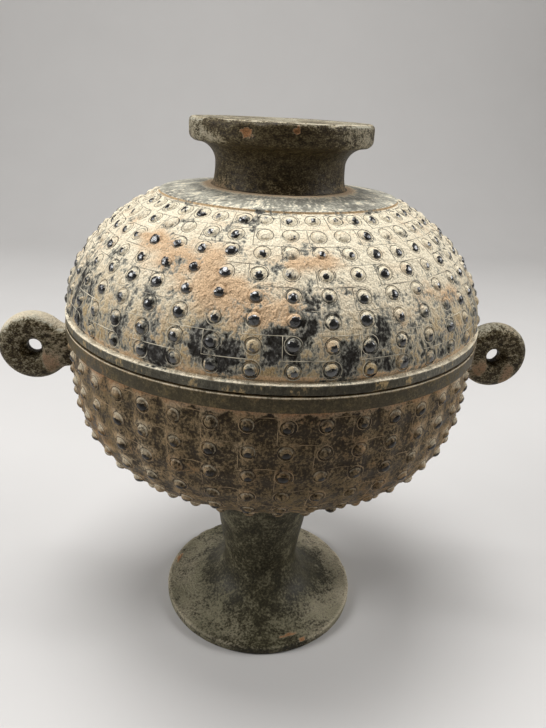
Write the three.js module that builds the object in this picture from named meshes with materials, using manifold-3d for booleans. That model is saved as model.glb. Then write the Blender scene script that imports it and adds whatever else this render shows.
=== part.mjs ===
// Covered stem bowl carved in dark green-grey stone: a full-sided bowl with a band and rows
// of bosses, a waisted stem on a trumpet foot, two fixed ring handles, and a bossed domed lid
// with a spool-shaped knob. The lid sits over the bowl's lip and lifts straight off.
import * as THREE from "three";
import { mergeVertices } from "three/addons/utils/BufferGeometryUtils.js";
import Module from "manifold-3d";

const wasm = await Module();
wasm.setup();

// Fits, in millimetres like every size below
const CEMENT_GAP = 0.3; // between fixed pieces, and around and beyond their tenons
const LID_SEAT_GAP = 0.3; // between the lid's rim and the bowl's rim
const LIP_CLEARANCE = 0.5; // between the bowl's lip and the rebate in the lid

// Stem and trumpet foot
const FOOT_RADIUS = 56;
const FOOT_EDGE_HEIGHT = 4.5;
const FOOT_RING_WIDTH = 12;
const FOOT_HOLLOW_HEIGHT = 20;
const FOOT_HOLLOW_TOP_RADIUS = 14;
const STEM_WAIST_RADIUS = 21.8;
const STEM_WAIST_HEIGHT = 27;
const STEM_TOP_RADIUS = 35.4;
const STEM_HEIGHT = 100.65;
const STEM_FLARE = 1.3; // power of the curve from the waist up to the top
const STEM_TENON_RADIUS = 18;
const STEM_TENON_LENGTH = 7;

// Bowl
const BAND_RADIUS = 101.4; // smooth bands on both sides of the seam
const GROUND_DEPTH = 1.1; // the carved ground lies this far inside the bands
const BOWL_DEPTH = 72; // of the full curve below the band
const BOWL_FULLNESS = 3.55; // exponent of the superellipse: 2 is an ellipse, more is squarer
const BOWL_BAND_HEIGHT = 6.8;
const BOWL_WALL = 8;
const BOWL_FLOOR = 15;
const LIP_HEIGHT = 6;
const LIP_THICKNESS = 3.8;

// Lid
const LID_BAND_HEIGHT = 4.2;
const DOME_RISE = 64.6; // of the full curve above the band
const DOME_FULLNESS = 2;
const LID_WALL = 7.5;
const CROWN_THICKNESS = 12;
const REBATE_HEADROOM = 0.6; // above the bowl's lip
const COLLAR_RADIUS = 55.8;
const COLLAR_STEP = 0.9;
const COLLAR_RISE = 2.4; // from the collar's edge to the knob's seat

// Knob
const KNOB_HEIGHT = 29;
const KNOB_RIM_RADIUS = 42.3;
const KNOB_RIM_HEIGHT = 10.4;
const KNOB_EDGE_RADIUS = 2.5; // rounding under the rim
const KNOB_NECK_RADIUS = 30.3;
const KNOB_NECK_HEIGHT = 10;
const KNOB_BASE_RADIUS = 33.6;
const KNOB_TENON_RADIUS = 14;
const KNOB_TENON_LENGTH = 6;

// Ring handles
const RING_RADIUS = 17.7;
const RING_THICKNESS = 13;
const RING_EDGE_RADIUS = 5;
const RING_STANDOFF = 2.8; // from the bowl's wall to the ring's outer circle
const RING_DROP = 22; // of the ring's centre below the bowl's rim
const HOLE_WAIST_RADIUS = 4; // the hole is drilled as a cone from each face
const HOLE_MOUTH_RADIUS = 7;
const NECK_HEIGHT = 21;
const NECK_THICKNESS = 12;
const NECK_FLARE = 2.5; // how much taller each half of the neck is at the ring
const RING_TENON_RADIUS = 4.5;
const RING_TENON_LENGTH = 5;

// Bosses: one low point in the middle of each cell of rows and columns
const BOSS_COLUMNS = 42;
const BOSS_RADIUS = 2.5;
const BOSS_HEIGHT = 1.3;
const BOSS_SIDES = 6;
const LID_BOSS_ROWS = 8;
const LID_BOSS_MARGIN = 0.7; // plain strip next to the band and next to the collar
const BOWL_BOSS_ROWS = 8;
const BOWL_BOSS_MARGIN = 1;
const BOWL_PATTERN_END_RADIUS = 54; // the underside is plain inside this circle

// Facets
const ARC_STEPS = 5; // in a quarter of a moulding
const INSIDE_STEPS = 8; // down the inside of a wall, and up the stem
const RING_SIDES = 28;
const TENON_SIDES = 24;
const CURVE_SAMPLES = 600;

// Sizes that follow from the ones above
const groundRadius = BAND_RADIUS - GROUND_DEPTH;
const bowlInnerRadius = groundRadius - BOWL_WALL;
const lipOuterRadius = bowlInnerRadius + LIP_THICKNESS;
const bowlCurve = [groundRadius, BOWL_DEPTH, BOWL_FULLNESS];
const bowlSeatDrop = superellipseHeight(...bowlCurve, STEM_TOP_RADIUS);
const bowlBandBottom = STEM_HEIGHT + CEMENT_GAP + bowlSeatDrop;
const bowlRim = bowlBandBottom + BOWL_BAND_HEIGHT;
const ringHeight = bowlRim - RING_DROP;
const wallAtRing = superellipseRadius(...bowlCurve, bowlBandBottom - ringHeight);
const ringCentre = wallAtRing + RING_STANDOFF + RING_RADIUS;
const lidUnderside = bowlRim + LID_SEAT_GAP;
const collarEdge = LID_BAND_HEIGHT
  + superellipseHeight(groundRadius, DOME_RISE, DOME_FULLNESS, COLLAR_RADIUS) + COLLAR_STEP;
const knobSeat = collarEdge + COLLAR_RISE;
const knobSeatRadius = KNOB_BASE_RADIUS + CEMENT_GAP;

function point(radius, height) {
  return new THREE.Vector2(radius, height);
}

function superellipseHeight(radius, rise, fullness, atRadius) {
  return rise * (1 - (atRadius / radius) ** fullness) ** (1 / fullness);
}

function superellipseRadius(radius, rise, fullness, atHeight) {
  return radius * (1 - (atHeight / rise) ** fullness) ** (1 / fullness);
}

// A curve with (radius / a)^n + (height / rise)^n = 1, from its widest circle to endRadius
function superellipseCurve(radius, rise, fullness, endRadius) {
  const end = Math.acos((endRadius / radius) ** (fullness / 2));
  const samples = [];
  for (let i = 0; i <= CURVE_SAMPLES; i += 1) {
    const angle = (end * i) / CURVE_SAMPLES;
    samples.push(point(
      radius * Math.cos(angle) ** (2 / fullness),
      rise * Math.sin(angle) ** (2 / fullness),
    ));
  }
  return samples;
}

// Points at the given distances along a sampled curve
function pointsAlong(samples, distances) {
  const lengths = [0];
  for (let i = 1; i < samples.length; i += 1) {
    lengths.push(lengths[i - 1] + samples[i].distanceTo(samples[i - 1]));
  }
  return distances.map((distance) => {
    const after = lengths.findIndex((length) => length >= distance - 1e-9);
    const i = Math.max(after, 1);
    const share = (distance - lengths[i - 1]) / (lengths[i] - lengths[i - 1]);
    return samples[i - 1].clone().lerp(samples[i], share);
  });
}

function lengthOf(samples) {
  return samples.reduce((sum, sample, i) => (i ? sum + sample.distanceTo(samples[i - 1]) : 0), 0);
}

function evenPoints(samples, steps) {
  const step = lengthOf(samples) / steps;
  return pointsAlong(samples, Array.from({ length: steps + 1 }, (_, i) => i * step));
}

// A plain margin, then one cell a boss row, then another plain margin
function bossedPoints(samples, rows, margin) {
  const total = lengthOf(samples);
  const pitch = (total - 2 * margin) / rows;
  const lines = Array.from({ length: rows + 1 }, (_, row) => margin + row * pitch);
  return pointsAlong(samples, [0, ...lines, total]);
}

// A quarter of an ellipse about a centre, from one angle in degrees to another
function quarter(centreRadius, centreHeight, width, height, fromDegrees, toDegrees) {
  return Array.from({ length: ARC_STEPS + 1 }, (_, i) => {
    const angle = THREE.MathUtils.degToRad(fromDegrees + ((toDegrees - fromDegrees) * i) / ARC_STEPS);
    return point(centreRadius + width * Math.cos(angle), centreHeight + height * Math.sin(angle));
  });
}

// Vertices shared and collapsed triangles removed, so that the surface closes
function welded(geometry) {
  geometry.deleteAttribute("normal");
  geometry.deleteAttribute("uv");
  const merged = mergeVertices(geometry, 1e-5);
  const kept = [];
  for (let i = 0; i < merged.index.count; i += 3) {
    const [a, b, c] = [0, 1, 2].map((corner) => merged.index.getX(i + corner));
    if (a !== b && b !== c && c !== a) kept.push(a, b, c);
  }
  merged.setIndex(kept);
  return merged;
}

// The corner of a cell, counted from its lower left, that lies next to a side of the boss in it.
// The boss's first side starts at its right.
function cornerBeside(side) {
  const quarterTurns = Math.floor((4 * (side + 0.5)) / BOSS_SIDES);
  return (quarterTurns + 2) % 4;
}

// Faces of a cell with a boss: flat ground from the cell's corners to the boss's foot, then the
// boss's sides up to its point. The new points are added to positions.
function bossFaces(positions, corners) {
  const [a, b, c, d] = corners.map((i) => new THREE.Vector3().fromArray(positions, 3 * i));
  const outward = c.clone().sub(a).cross(d.clone().sub(b)).normalize();
  const rightward = b.clone().sub(a).normalize();
  const upward = outward.clone().cross(rightward);
  const middle = a.clone().add(b).add(c).add(d).divideScalar(4);
  const foot = positions.length / 3;
  const top = foot + BOSS_SIDES;
  const faces = [];
  for (let side = 0; side < BOSS_SIDES; side += 1) {
    const angle = (2 * Math.PI * side) / BOSS_SIDES;
    const place = middle.clone()
      .addScaledVector(rightward, BOSS_RADIUS * Math.cos(angle))
      .addScaledVector(upward, BOSS_RADIUS * Math.sin(angle));
    positions.push(...place.toArray());
    const next = (side + 1) % BOSS_SIDES;
    const [beside, besideNext] = [side, next].map((i) => corners[cornerBeside(i)]);
    faces.push(foot + side, foot + next, top);
    faces.push(foot + next, foot + side, beside);
    if (beside !== besideNext) faces.push(beside, besideNext, foot + next);
  }
  positions.push(...middle.addScaledVector(outward, BOSS_HEIGHT).toArray());
  return faces;
}

// An outline of radius and height turned about +Z, with one side for each column of bosses.
// hasBoss(strip, column) says which of its four-cornered faces carry a boss.
function turned(outline, hasBoss = () => false) {
  const pitch = (2 * Math.PI) / BOSS_COLUMNS;
  const lathe = new THREE.LatheGeometry(outline, BOSS_COLUMNS, -pitch / 2);
  lathe.rotateX(Math.PI / 2);
  const positions = Array.from(lathe.attributes.position.array);
  const faces = [];
  for (let column = 0; column < BOSS_COLUMNS; column += 1) {
    for (let strip = 0; strip < outline.length - 1; strip += 1) {
      const a = column * outline.length + strip;
      const [b, c, d] = [a + outline.length, a + outline.length + 1, a + 1];
      if (hasBoss(strip, column)) {
        faces.push(...bossFaces(positions, [a, b, c, d]));
      } else {
        faces.push(a, b, d, b, c, d);
      }
    }
  }
  const geometry = new THREE.BufferGeometry();
  geometry.setAttribute("position", new THREE.Float32BufferAttribute(positions, 3));
  geometry.setIndex(faces);
  return welded(geometry);
}

function solid(geometry) {
  const vertProperties = new Float32Array(geometry.attributes.position.array);
  const triVerts = new Uint32Array(geometry.index.array);
  return new wasm.Manifold(new wasm.Mesh({ numProp: 3, vertProperties, triVerts }));
}

function fromSolid(body) {
  const mesh = body.getMesh();
  const geometry = new THREE.BufferGeometry();
  geometry.setAttribute("position", new THREE.Float32BufferAttribute(mesh.vertProperties, 3));
  geometry.setIndex(Array.from(mesh.triVerts));
  return geometry;
}

// A round bar along X between two distances from the vessel's axis
function barAlongX(fromX, toX, radiusFrom, radiusTo, widthShare = 1) {
  const bar = new THREE.CylinderGeometry(radiusFrom, radiusTo, toX - fromX, TENON_SIDES);
  bar.rotateZ(Math.PI / 2);
  bar.scale(1, widthShare, 1);
  bar.translate((fromX + toX) / 2, 0, 0);
  return solid(welded(bar));
}

// Stem and trumpet foot in one: edge, cove, waist, flaring stem, shoulder and tenon
function pedestalFoot() {
  const ringInside = FOOT_RADIUS - FOOT_RING_WIDTH;
  const hollow = quarter(
    ringInside, FOOT_HOLLOW_HEIGHT,
    ringInside - FOOT_HOLLOW_TOP_RADIUS, FOOT_HOLLOW_HEIGHT, 180, 270,
  );
  const coveHeight = STEM_WAIST_HEIGHT - FOOT_EDGE_HEIGHT;
  const cove = quarter(
    FOOT_RADIUS, STEM_WAIST_HEIGHT,
    FOOT_RADIUS - STEM_WAIST_RADIUS, coveHeight, 270, 180,
  );
  const stem = Array.from({ length: INSIDE_STEPS }, (_, i) => {
    const share = (i + 1) / INSIDE_STEPS;
    return point(
      STEM_WAIST_RADIUS + (STEM_TOP_RADIUS - STEM_WAIST_RADIUS) * share ** STEM_FLARE,
      STEM_WAIST_HEIGHT + (STEM_HEIGHT - STEM_WAIST_HEIGHT) * share,
    );
  });
  return turned([
    point(0, FOOT_HOLLOW_HEIGHT),
    ...hollow,
    point(FOOT_RADIUS, 0),
    ...cove,
    ...stem,
    point(STEM_TENON_RADIUS, STEM_HEIGHT),
    point(STEM_TENON_RADIUS, STEM_HEIGHT + STEM_TENON_LENGTH),
    point(0, STEM_HEIGHT + STEM_TENON_LENGTH),
  ]);
}

// The boss columns on either side of a handle stay plain over the height of its neck
function besideHandle(column, rowHeight, rowPitch) {
  const fromHandle = Math.abs((column % (BOSS_COLUMNS / 2)) - BOSS_COLUMNS / 4);
  const reach = NECK_HEIGHT / 2 + rowPitch / 2;
  return fromHandle < 1 && Math.abs(rowHeight + RING_DROP - BOWL_BAND_HEIGHT) < reach;
}

// Bowl, with its heights measured from the bottom of its band
function bowl() {
  const pattern = superellipseCurve(...bowlCurve, BOWL_PATTERN_END_RADIUS);
  const cells = bossedPoints(pattern, BOWL_BOSS_ROWS, BOWL_BOSS_MARGIN);
  const wall = cells.map((p) => point(p.x, -p.y)).reverse();
  const socketRadius = STEM_TENON_RADIUS + CEMENT_GAP;
  const socketTop = STEM_TENON_LENGTH - bowlSeatDrop;
  const foot = [
    point(0, socketTop),
    point(socketRadius, socketTop),
    point(socketRadius, -bowlSeatDrop),
    point(STEM_TOP_RADIUS, -bowlSeatDrop),
  ];
  const insideCurve = superellipseCurve(bowlInnerRadius, BOWL_DEPTH - BOWL_FLOOR, BOWL_FULLNESS, 0);
  const inside = evenPoints(insideCurve, INSIDE_STEPS).map((p) => point(p.x, -p.y));
  const lipTop = BOWL_BAND_HEIGHT + LIP_HEIGHT;
  const outline = [
    ...foot,
    ...wall,
    point(BAND_RADIUS, 0),
    point(BAND_RADIUS, BOWL_BAND_HEIGHT),
    point(lipOuterRadius, BOWL_BAND_HEIGHT),
    point(lipOuterRadius, lipTop),
    point(bowlInnerRadius, lipTop),
    ...inside,
  ];
  const firstBossStrip = foot.length + 1;
  const hasBoss = (strip, column) => {
    const row = strip - firstBossStrip;
    if (row < 0 || row >= BOWL_BOSS_ROWS) return false;
    const [below, above] = [outline[strip], outline[strip + 1]];
    return !besideHandle(column, (below.y + above.y) / 2, below.distanceTo(above));
  };
  let body = solid(turned(outline, hasBoss));
  const socket = barAlongX(
    wallAtRing - RING_TENON_LENGTH - CEMENT_GAP, BAND_RADIUS + RING_STANDOFF,
    RING_TENON_RADIUS + CEMENT_GAP, RING_TENON_RADIUS + CEMENT_GAP,
  ).translate([0, 0, ringHeight - bowlBandBottom]);
  body = body.subtract(socket).subtract(socket.rotate([0, 0, 180]));
  return fromSolid(body);
}

// Ring handle for the +X side, about its own centre: a round-edged ring with a double-coned
// hole, a neck that follows the bowl's wall, and a tenon
function ringHandle() {
  const half = RING_THICKNESS / 2;
  const flat = half - RING_EDGE_RADIUS;
  const edgeCentre = RING_RADIUS - RING_EDGE_RADIUS;
  const outline = [
    point(HOLE_WAIST_RADIUS, 0),
    point(HOLE_MOUTH_RADIUS, -half),
    ...quarter(edgeCentre, -flat, RING_EDGE_RADIUS, RING_EDGE_RADIUS, 270, 360),
    ...quarter(edgeCentre, flat, RING_EDGE_RADIUS, RING_EDGE_RADIUS, 0, 90),
    point(HOLE_MOUTH_RADIUS, half),
    point(HOLE_WAIST_RADIUS, 0),
  ];
  const ring = solid(welded(new THREE.LatheGeometry(outline, RING_SIDES)));
  const neckEnd = -HOLE_MOUTH_RADIUS;
  const neckStart = wallAtRing - BOWL_WALL / 2 - ringCentre;
  const neck = barAlongX(
    neckStart, neckEnd,
    NECK_HEIGHT / 2, NECK_HEIGHT / 2 + NECK_FLARE, NECK_THICKNESS / NECK_HEIGHT,
  );
  const wallCurve = superellipseCurve(
    groundRadius + CEMENT_GAP, BOWL_DEPTH + CEMENT_GAP, BOWL_FULLNESS, 0,
  );
  const wall = evenPoints(wallCurve, 4 * INSIDE_STEPS).map((p) => point(p.x, -p.y)).reverse();
  const band = [
    point(BAND_RADIUS + CEMENT_GAP, 0),
    point(BAND_RADIUS + CEMENT_GAP, BOWL_BAND_HEIGHT),
    point(0, BOWL_BAND_HEIGHT),
  ];
  const bowlSpace = solid(turned([...wall, ...band]))
    .translate([-ringCentre, 0, bowlBandBottom - ringHeight]);
  const tenonStart = wallAtRing - RING_TENON_LENGTH - ringCentre;
  const tenon = barAlongX(tenonStart, neckEnd, RING_TENON_RADIUS, RING_TENON_RADIUS);
  return fromSolid(ring.add(neck).subtract(bowlSpace).add(tenon));
}

// Lid dome with its collar, knob socket, rim band and rebate, measured from its underside
function lidDome() {
  const curve = superellipseCurve(groundRadius, DOME_RISE, DOME_FULLNESS, COLLAR_RADIUS);
  const cells = bossedPoints(curve, LID_BOSS_ROWS, LID_BOSS_MARGIN);
  const dome = cells.map((p) => point(p.x, p.y + LID_BAND_HEIGHT));
  const rebateRadius = lipOuterRadius + LIP_CLEARANCE;
  const rebateTop = LIP_HEIGHT - LID_SEAT_GAP + REBATE_HEADROOM;
  const innerRise = knobSeat - CROWN_THICKNESS - rebateTop;
  const insideCurve = superellipseCurve(groundRadius - LID_WALL, innerRise, DOME_FULLNESS, 0);
  const inside = evenPoints(insideCurve, INSIDE_STEPS).map((p) => point(p.x, p.y + rebateTop));
  const socketRadius = KNOB_TENON_RADIUS + CEMENT_GAP;
  const socketFloor = knobSeat - KNOB_TENON_LENGTH;
  const rim = [
    ...inside.reverse(),
    point(rebateRadius, rebateTop),
    point(rebateRadius, 0),
    point(BAND_RADIUS, 0),
    point(BAND_RADIUS, LID_BAND_HEIGHT),
  ];
  const crown = [
    point(COLLAR_RADIUS, collarEdge),
    point(knobSeatRadius, knobSeat),
    point(socketRadius, knobSeat),
    point(socketRadius, socketFloor),
    point(0, socketFloor),
  ];
  const firstBossStrip = rim.length + 1;
  const hasBoss = (strip) => strip >= firstBossStrip && strip < firstBossStrip + LID_BOSS_ROWS;
  return turned([...rim, ...dome, ...crown], hasBoss);
}

// Spool-shaped knob with a tenon, measured from its seat
function lidKnob() {
  const rimBottom = KNOB_HEIGHT - KNOB_RIM_HEIGHT;
  const edgeCentre = KNOB_RIM_RADIUS - KNOB_EDGE_RADIUS;
  return turned([
    point(0, CEMENT_GAP - KNOB_TENON_LENGTH),
    point(KNOB_TENON_RADIUS, CEMENT_GAP - KNOB_TENON_LENGTH),
    point(KNOB_TENON_RADIUS, 0),
    ...quarter(
      KNOB_BASE_RADIUS, KNOB_NECK_HEIGHT,
      KNOB_BASE_RADIUS - KNOB_NECK_RADIUS, KNOB_NECK_HEIGHT, 270, 180,
    ),
    ...quarter(
      edgeCentre, KNOB_NECK_HEIGHT,
      edgeCentre - KNOB_NECK_RADIUS, rimBottom - KNOB_NECK_HEIGHT, 180, 90,
    ),
    ...quarter(edgeCentre, rimBottom + KNOB_EDGE_RADIUS, KNOB_EDGE_RADIUS, KNOB_EDGE_RADIUS, 270, 360),
    point(KNOB_RIM_RADIUS, KNOB_HEIGHT),
    point(0, KNOB_HEIGHT),
  ]);
}

function piece(name, geometry, material) {
  const mesh = new THREE.Mesh(geometry, material);
  mesh.name = name;
  return mesh;
}

// Dark stone with different amounts of dried earth in the carving
const bareStone = new THREE.MeshStandardMaterial({ color: 0x56554a, roughness: 0.55, metalness: 0 });
const lidStone = new THREE.MeshStandardMaterial({ color: 0xb09a7b, roughness: 0.8, metalness: 0 });
const bowlStone = new THREE.MeshStandardMaterial({ color: 0x7a6a52, roughness: 0.75, metalness: 0 });

const vessel = new THREE.Group();
const bowlMesh = piece("bowl", bowl(), bowlStone);
bowlMesh.position.z = bowlBandBottom;
const rightRing = piece("right_ring_handle", ringHandle(), bareStone);
rightRing.position.set(ringCentre, 0, ringHeight);
const leftRing = piece("left_ring_handle", ringHandle(), bareStone);
leftRing.position.set(-ringCentre, 0, ringHeight);
leftRing.rotation.z = Math.PI;
vessel.add(piece("pedestal_foot", pedestalFoot(), bareStone), bowlMesh, leftRing, rightRing);

const lid = new THREE.Group();
lid.position.z = lidUnderside;
const knobMesh = piece("lid_knob", lidKnob(), bareStone);
knobMesh.position.z = knobSeat + CEMENT_GAP;
lid.add(piece("lid_dome", lidDome(), lidStone), knobMesh);

const coveredBowl = new THREE.Group();
coveredBowl.add(vessel, lid);
export default coveredBowl;
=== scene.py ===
"""Covered stem bowl of carved stone: bossed bowl and lid, ring handles, spool knob and trumpet foot."""
import math
from itertools import product

import bpy
import numpy as np
from bpy.props import FloatProperty, FloatVectorProperty, IntProperty, PointerProperty
from mathutils import Matrix, Vector


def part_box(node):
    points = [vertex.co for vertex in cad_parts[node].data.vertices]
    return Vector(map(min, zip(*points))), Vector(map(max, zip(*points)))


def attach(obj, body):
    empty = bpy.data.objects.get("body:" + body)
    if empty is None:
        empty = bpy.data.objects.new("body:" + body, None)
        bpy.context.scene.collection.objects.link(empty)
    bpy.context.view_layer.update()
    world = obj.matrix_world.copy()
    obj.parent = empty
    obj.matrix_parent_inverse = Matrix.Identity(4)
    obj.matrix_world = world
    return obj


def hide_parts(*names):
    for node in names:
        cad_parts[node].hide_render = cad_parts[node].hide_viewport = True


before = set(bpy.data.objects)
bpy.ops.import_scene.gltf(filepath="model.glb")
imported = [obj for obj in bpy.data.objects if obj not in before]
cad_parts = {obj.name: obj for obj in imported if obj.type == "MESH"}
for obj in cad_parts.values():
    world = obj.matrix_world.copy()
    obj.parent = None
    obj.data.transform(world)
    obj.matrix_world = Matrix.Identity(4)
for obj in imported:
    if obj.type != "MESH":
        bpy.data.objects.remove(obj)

bl_info = {
    "name": "Covered stone stem bowl",
    "version": (1, 0, 0),
    "blender": (4, 5, 0),
    "location": "View3D > Sidebar > Stem bowl",
    "description": "Carved stone bowl on a trumpet foot, with ring handles and a domed lid",
    "category": "Add Mesh",
}

MM = 0.001
QUARTER = np.pi / 2
TURN = 2 * np.pi
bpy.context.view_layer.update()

# Corners of the boxes of the CAD nodes that the pieces stand for.
FOOT_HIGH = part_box("pedestal_foot")[1]
BOWL_LOW, BOWL_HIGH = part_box("bowl")
LID_LOW, LID_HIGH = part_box("lid_dome")
KNOB_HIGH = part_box("lid_knob")[1]
RING_LOW, RING_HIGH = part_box("right_ring_handle")

# Each boss sits in a square cell of the grid, this many faces across.
CELL_FACES = 14
# Columns round a plain turned piece.
PLAIN_COLUMNS = 320
# Columns round the knob, whose rim has small nicks.
KNOB_COLUMNS = 540
# Columns round a ring handle, and points round a fine circle cut about a boss.
RING_COLUMNS = 160
HALO_POINTS = 16
# Longest stretch between two points of an outline, on each piece's edges and across the flats of the
# bowl's seat, the stem's top and the knob.
FOOT_STEP = 3 * MM
BOWL_STEP = 2.4 * MM
LID_STEP = 2 * MM
KNOB_STEP = 0.5 * MM
RING_STEP = 1.4 * MM
SEAT_STEP = 12 * MM
STEM_TOP_STEP = 9 * MM
KNOB_BASE_STEP = 6 * MM
KNOB_TOP_STEP = 3 * MM
# An extra row of points this far from a worn edge keeps the shading beside it flat.
FOOT_HOLD = 1.5 * MM
BOWL_HOLD = 1.1 * MM
LID_HOLD = 0.8 * MM
KNOB_HOLD = 3 * MM
# Rings of faces on a boss as shares of its radius, and the ring between its groove and its cell's edge.
BOSS_RINGS = (0, 0.36, 0.7, 0.9, 1)
GROUND_RING = 3.4 * MM
# Half width of a cell that has room for a boss of full size.
FULL_CELL = 4.15 * MM
# How far bosses differ in size, as a share, and how far their crescents turn, in radians.
BOSS_GROWTH = 0.07
BOSS_SWIRL = 0.9
# The cap of dark stone on a boss: its place below the middle, its reach and its fade, in boss radii.
# It sits low partly as painted shade on the boss's lower side. It grows faster than the boss, and leans
# with the crescent.
CAP_DROP = 0.32
CAP_REACH = 0.58
CAP_FADE = 0.3
CAP_GROWTH = 3
CAP_LEAN = 0.6
# Room left plain beside a handle's neck: turn to each side, and height above and below.
NECK_TURN = math.radians(8)
NECK_ROOM = 14.5 * MM
# A hooked line curls this far round its boss.
HOOK_TURN = math.radians(115)
# How deep the edges of an earth-filled line lie, and how far the whole line is sunk.
LINE_DEPTH = 0.12 * MM
LINE_SINK = 0.03 * MM
# Amount of earth at which the lid's crust starts to stand proud, and at which it is whole.
CRUST_START = 0.4
CRUST_WHOLE = 0.85
# Mounds of crusted earth on the lid: turn from the front in degrees, distance above the band along the
# dome, half width and half height.
CRUST_MOUNDS = (
    (-14, 32 * MM, 18 * MM, 8 * MM),
    (-5, 25 * MM, 13 * MM, 5 * MM),
    (-28, 44 * MM, 17 * MM, 7 * MM),
    (-42, 49 * MM, 9 * MM, 4 * MM),
    (5, 47 * MM, 13 * MM, 4 * MM),
    (46, 26 * MM, 8 * MM, 4 * MM),
    (150, 44 * MM, 15 * MM, 7 * MM),
    (205, 30 * MM, 12 * MM, 6 * MM),
)
# Nicks on the knob's rim: turn from the front in degrees, distance below the top, reach.
KNOB_NICKS = ((-24, 4.4 * MM, 2.3 * MM), (4, 3.4 * MM, 1.9 * MM))
# Rusty scrapes on the foot: turn from the front in degrees, radius, half length round the foot, half width.
FOOT_SCRAPES = (
    (17.7, 49.3 * MM, 5.5 * MM, 1.1 * MM),
    (24, 54.5 * MM, 3 * MM, 1.4 * MM),
    (-108, 53 * MM, 5 * MM, 1.2 * MM),
)
# How much each feature adds to the earth on a piece, where 0 is bare stone and 1 is covered, and to the
# earth's tone, where 0 is pale and 1 is dark.
# On the foot the sides and right weights pale its flanks as dust and painted light where the side lamps
# catch them, and a negative weight darkens the cove on the right as a painted shadow of the bowl.
FOOT_EARTH = {"ground": -0.1, "slow": 0.06, "quick": 0.06, "joint": 0.3, "worn": 0.12, "sides": 0.7,
              "right": 0.2, "painted_bowl_shadow": -0.6, "scraped": 1}
FOOT_TONE = {"ground": 0.5, "slow": 0.2, "worn": -0.2, "right": -0.15, "sides": -0.15}
# On the bowl the groove and channel weights darken the hollows round and between the bosses, partly as
# painted shade, and the seam weight darkens the gap under the lid as painted shade. The dust and aside
# weights pale the up-facing slopes and both sides, as dust and painted light.
BOWL_EARTH = {"ground": 0.3, "slow": 0.06, "streak": 0.1, "groove": -0.4, "dust_and_light": 0.65, "aside": 0.15,
              "channel": -0.15, "crescent": 1.3, "plain": -0.2, "worn": 0.8, "corner": 0.6, "seam_shade": -1}
BOWL_TONE = {"ground": 0.55, "slow": 0.2, "worn": -0.6, "crescent": -0.7, "dust_and_light": -0.5, "corner": -0.2,
             "dressed": 0.45}
# On the lid the brow weight pales the bosses' upper flanks as painted light, the groove weight darkens the
# rings round them partly as painted shade, and the crease weight darkens the collar's foot as painted
# shade. The up weight in the tone darkens the earth towards the lid's foot, partly as painted shade.
LID_EARTH = {"ground": 0.54, "up": 0.5, "slow": 0.08, "slate": -0.75, "lit_brow": 0.25, "groove": -0.35,
             "crescent": 0.55, "crust": 0.15, "ledge": 0.8, "nook": 0.35, "plain": -0.3, "collar": -0.8,
             "scratch": 0.6, "knob_base": 1.2, "collar_crease_shade": -0.7}
LID_TONE = {"ground": 0.9, "up": -0.9, "slow": 0.15}
# On the knob the flat top is paled as a painted highlight, and the rim's two ends as dust and painted light
# where the side lamps catch them.
KNOB_EARTH = {"ground": -0.35, "slow": 0.3, "quick": 0.15, "foot": 0.35, "foot_ends": 0.35, "worn": 0.25,
              "flat_top_highlight": 0.75, "rim_end_dust_and_light": 0.8, "nicked": 1.5}
KNOB_TONE = {"ground": 0.5, "slow": 0.15, "worn": -0.2, "flat_top_highlight": -0.3}
# Unevenness that hand grinding leaves: depth and length of a slow swell and of a shorter ripple. It fades
# out within this radius of the axis.
SWELL_DEPTH = 0.14 * MM
SWELL_LENGTH = 21 * MM
RIPPLE_DEPTH = 0.07 * MM
RIPPLE_LENGTH = 5 * MM
AXIS_FADE = 6 * MM
# Large odd numbers that scatter the corners of the noise's lattice, its seeds and its bits.
SCATTER = np.array([374761393, 668265263, 974634777])
SEED_STEP = 144665
BIT_MIX = 1274126177
# The paper sheet in metres: its front edge, where it starts to sweep up, the radius of that sweep, its top
# edge, half its width, how far it lies below the foot, and the size of its clouding.
PAPER_FRONT = -1.6
PAPER_BACK = 0.9
PAPER_SWEEP = 0.5
PAPER_TOP = 1.8
PAPER_SIDE = 2.2
PAPER_GAP = 0.2 * MM
PAPER_CLOUD = 90 * MM
# How matt the paper is, and how dark its clouding is beside its own colour.
PAPER_ROUGH = 0.9
PAPER_SHADE = 0.95
# Faint warm glow that fills the shadows: its linear colour and strength.
GLOW_COLOUR = (1, 0.94, 0.84, 1)
GLOW_STRENGTH = 0.08
# Lights: name, place in metres, width in metres and power in watts. They all face the bowl's middle.
LIGHTS = (
    ("ceiling_light", (-0.1, 0.03, 1.35), 0.55, 14.5),
    ("left_light", (-1.2, -0.15, 0.8), 0.6, 12.0),
    ("right_light", (1.2, 0.0, 0.8), 0.6, 10.0),
)
LIT_POINT = Vector((0, 0, 0.15))
# The camera's lens is given for a frame of this height in millimetres.
FRAME_HEIGHT = 36


def linear(code):
    """Turns an sRGB hex colour into the linear colour that Blender mixes."""
    channels = [int(code[i:i + 2], 16) / 255 for i in (0, 2, 4)]
    return tuple(c / 12.92 if c <= 0.04045 else ((c + 0.055) / 1.055) ** 2.4 for c in channels)


def length(name, description, metres):
    """A length that a user may change, in Blender's own unit."""
    return FloatProperty(name=name, description=description, default=metres, precision=5,
                         unit="LENGTH", subtype="DISTANCE")


def number(name, description, value):
    """A plain number that a user may change."""
    return FloatProperty(name=name, description=description, default=value, precision=3)


def count(name, description, value):
    """A whole number that a user may change."""
    return IntProperty(name=name, description=description, default=value, min=1)


def tilt(name, description, degrees):
    """An angle that a user may change, given in degrees."""
    return FloatProperty(name=name, description=description, default=math.radians(degrees), subtype="ANGLE")


def colour(name, description, code):
    """A surface colour that a user may change, given as an sRGB hex value."""
    return FloatVectorProperty(name=name, description=description, default=linear(code),
                               size=3, min=0, max=1, subtype="COLOR")


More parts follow.
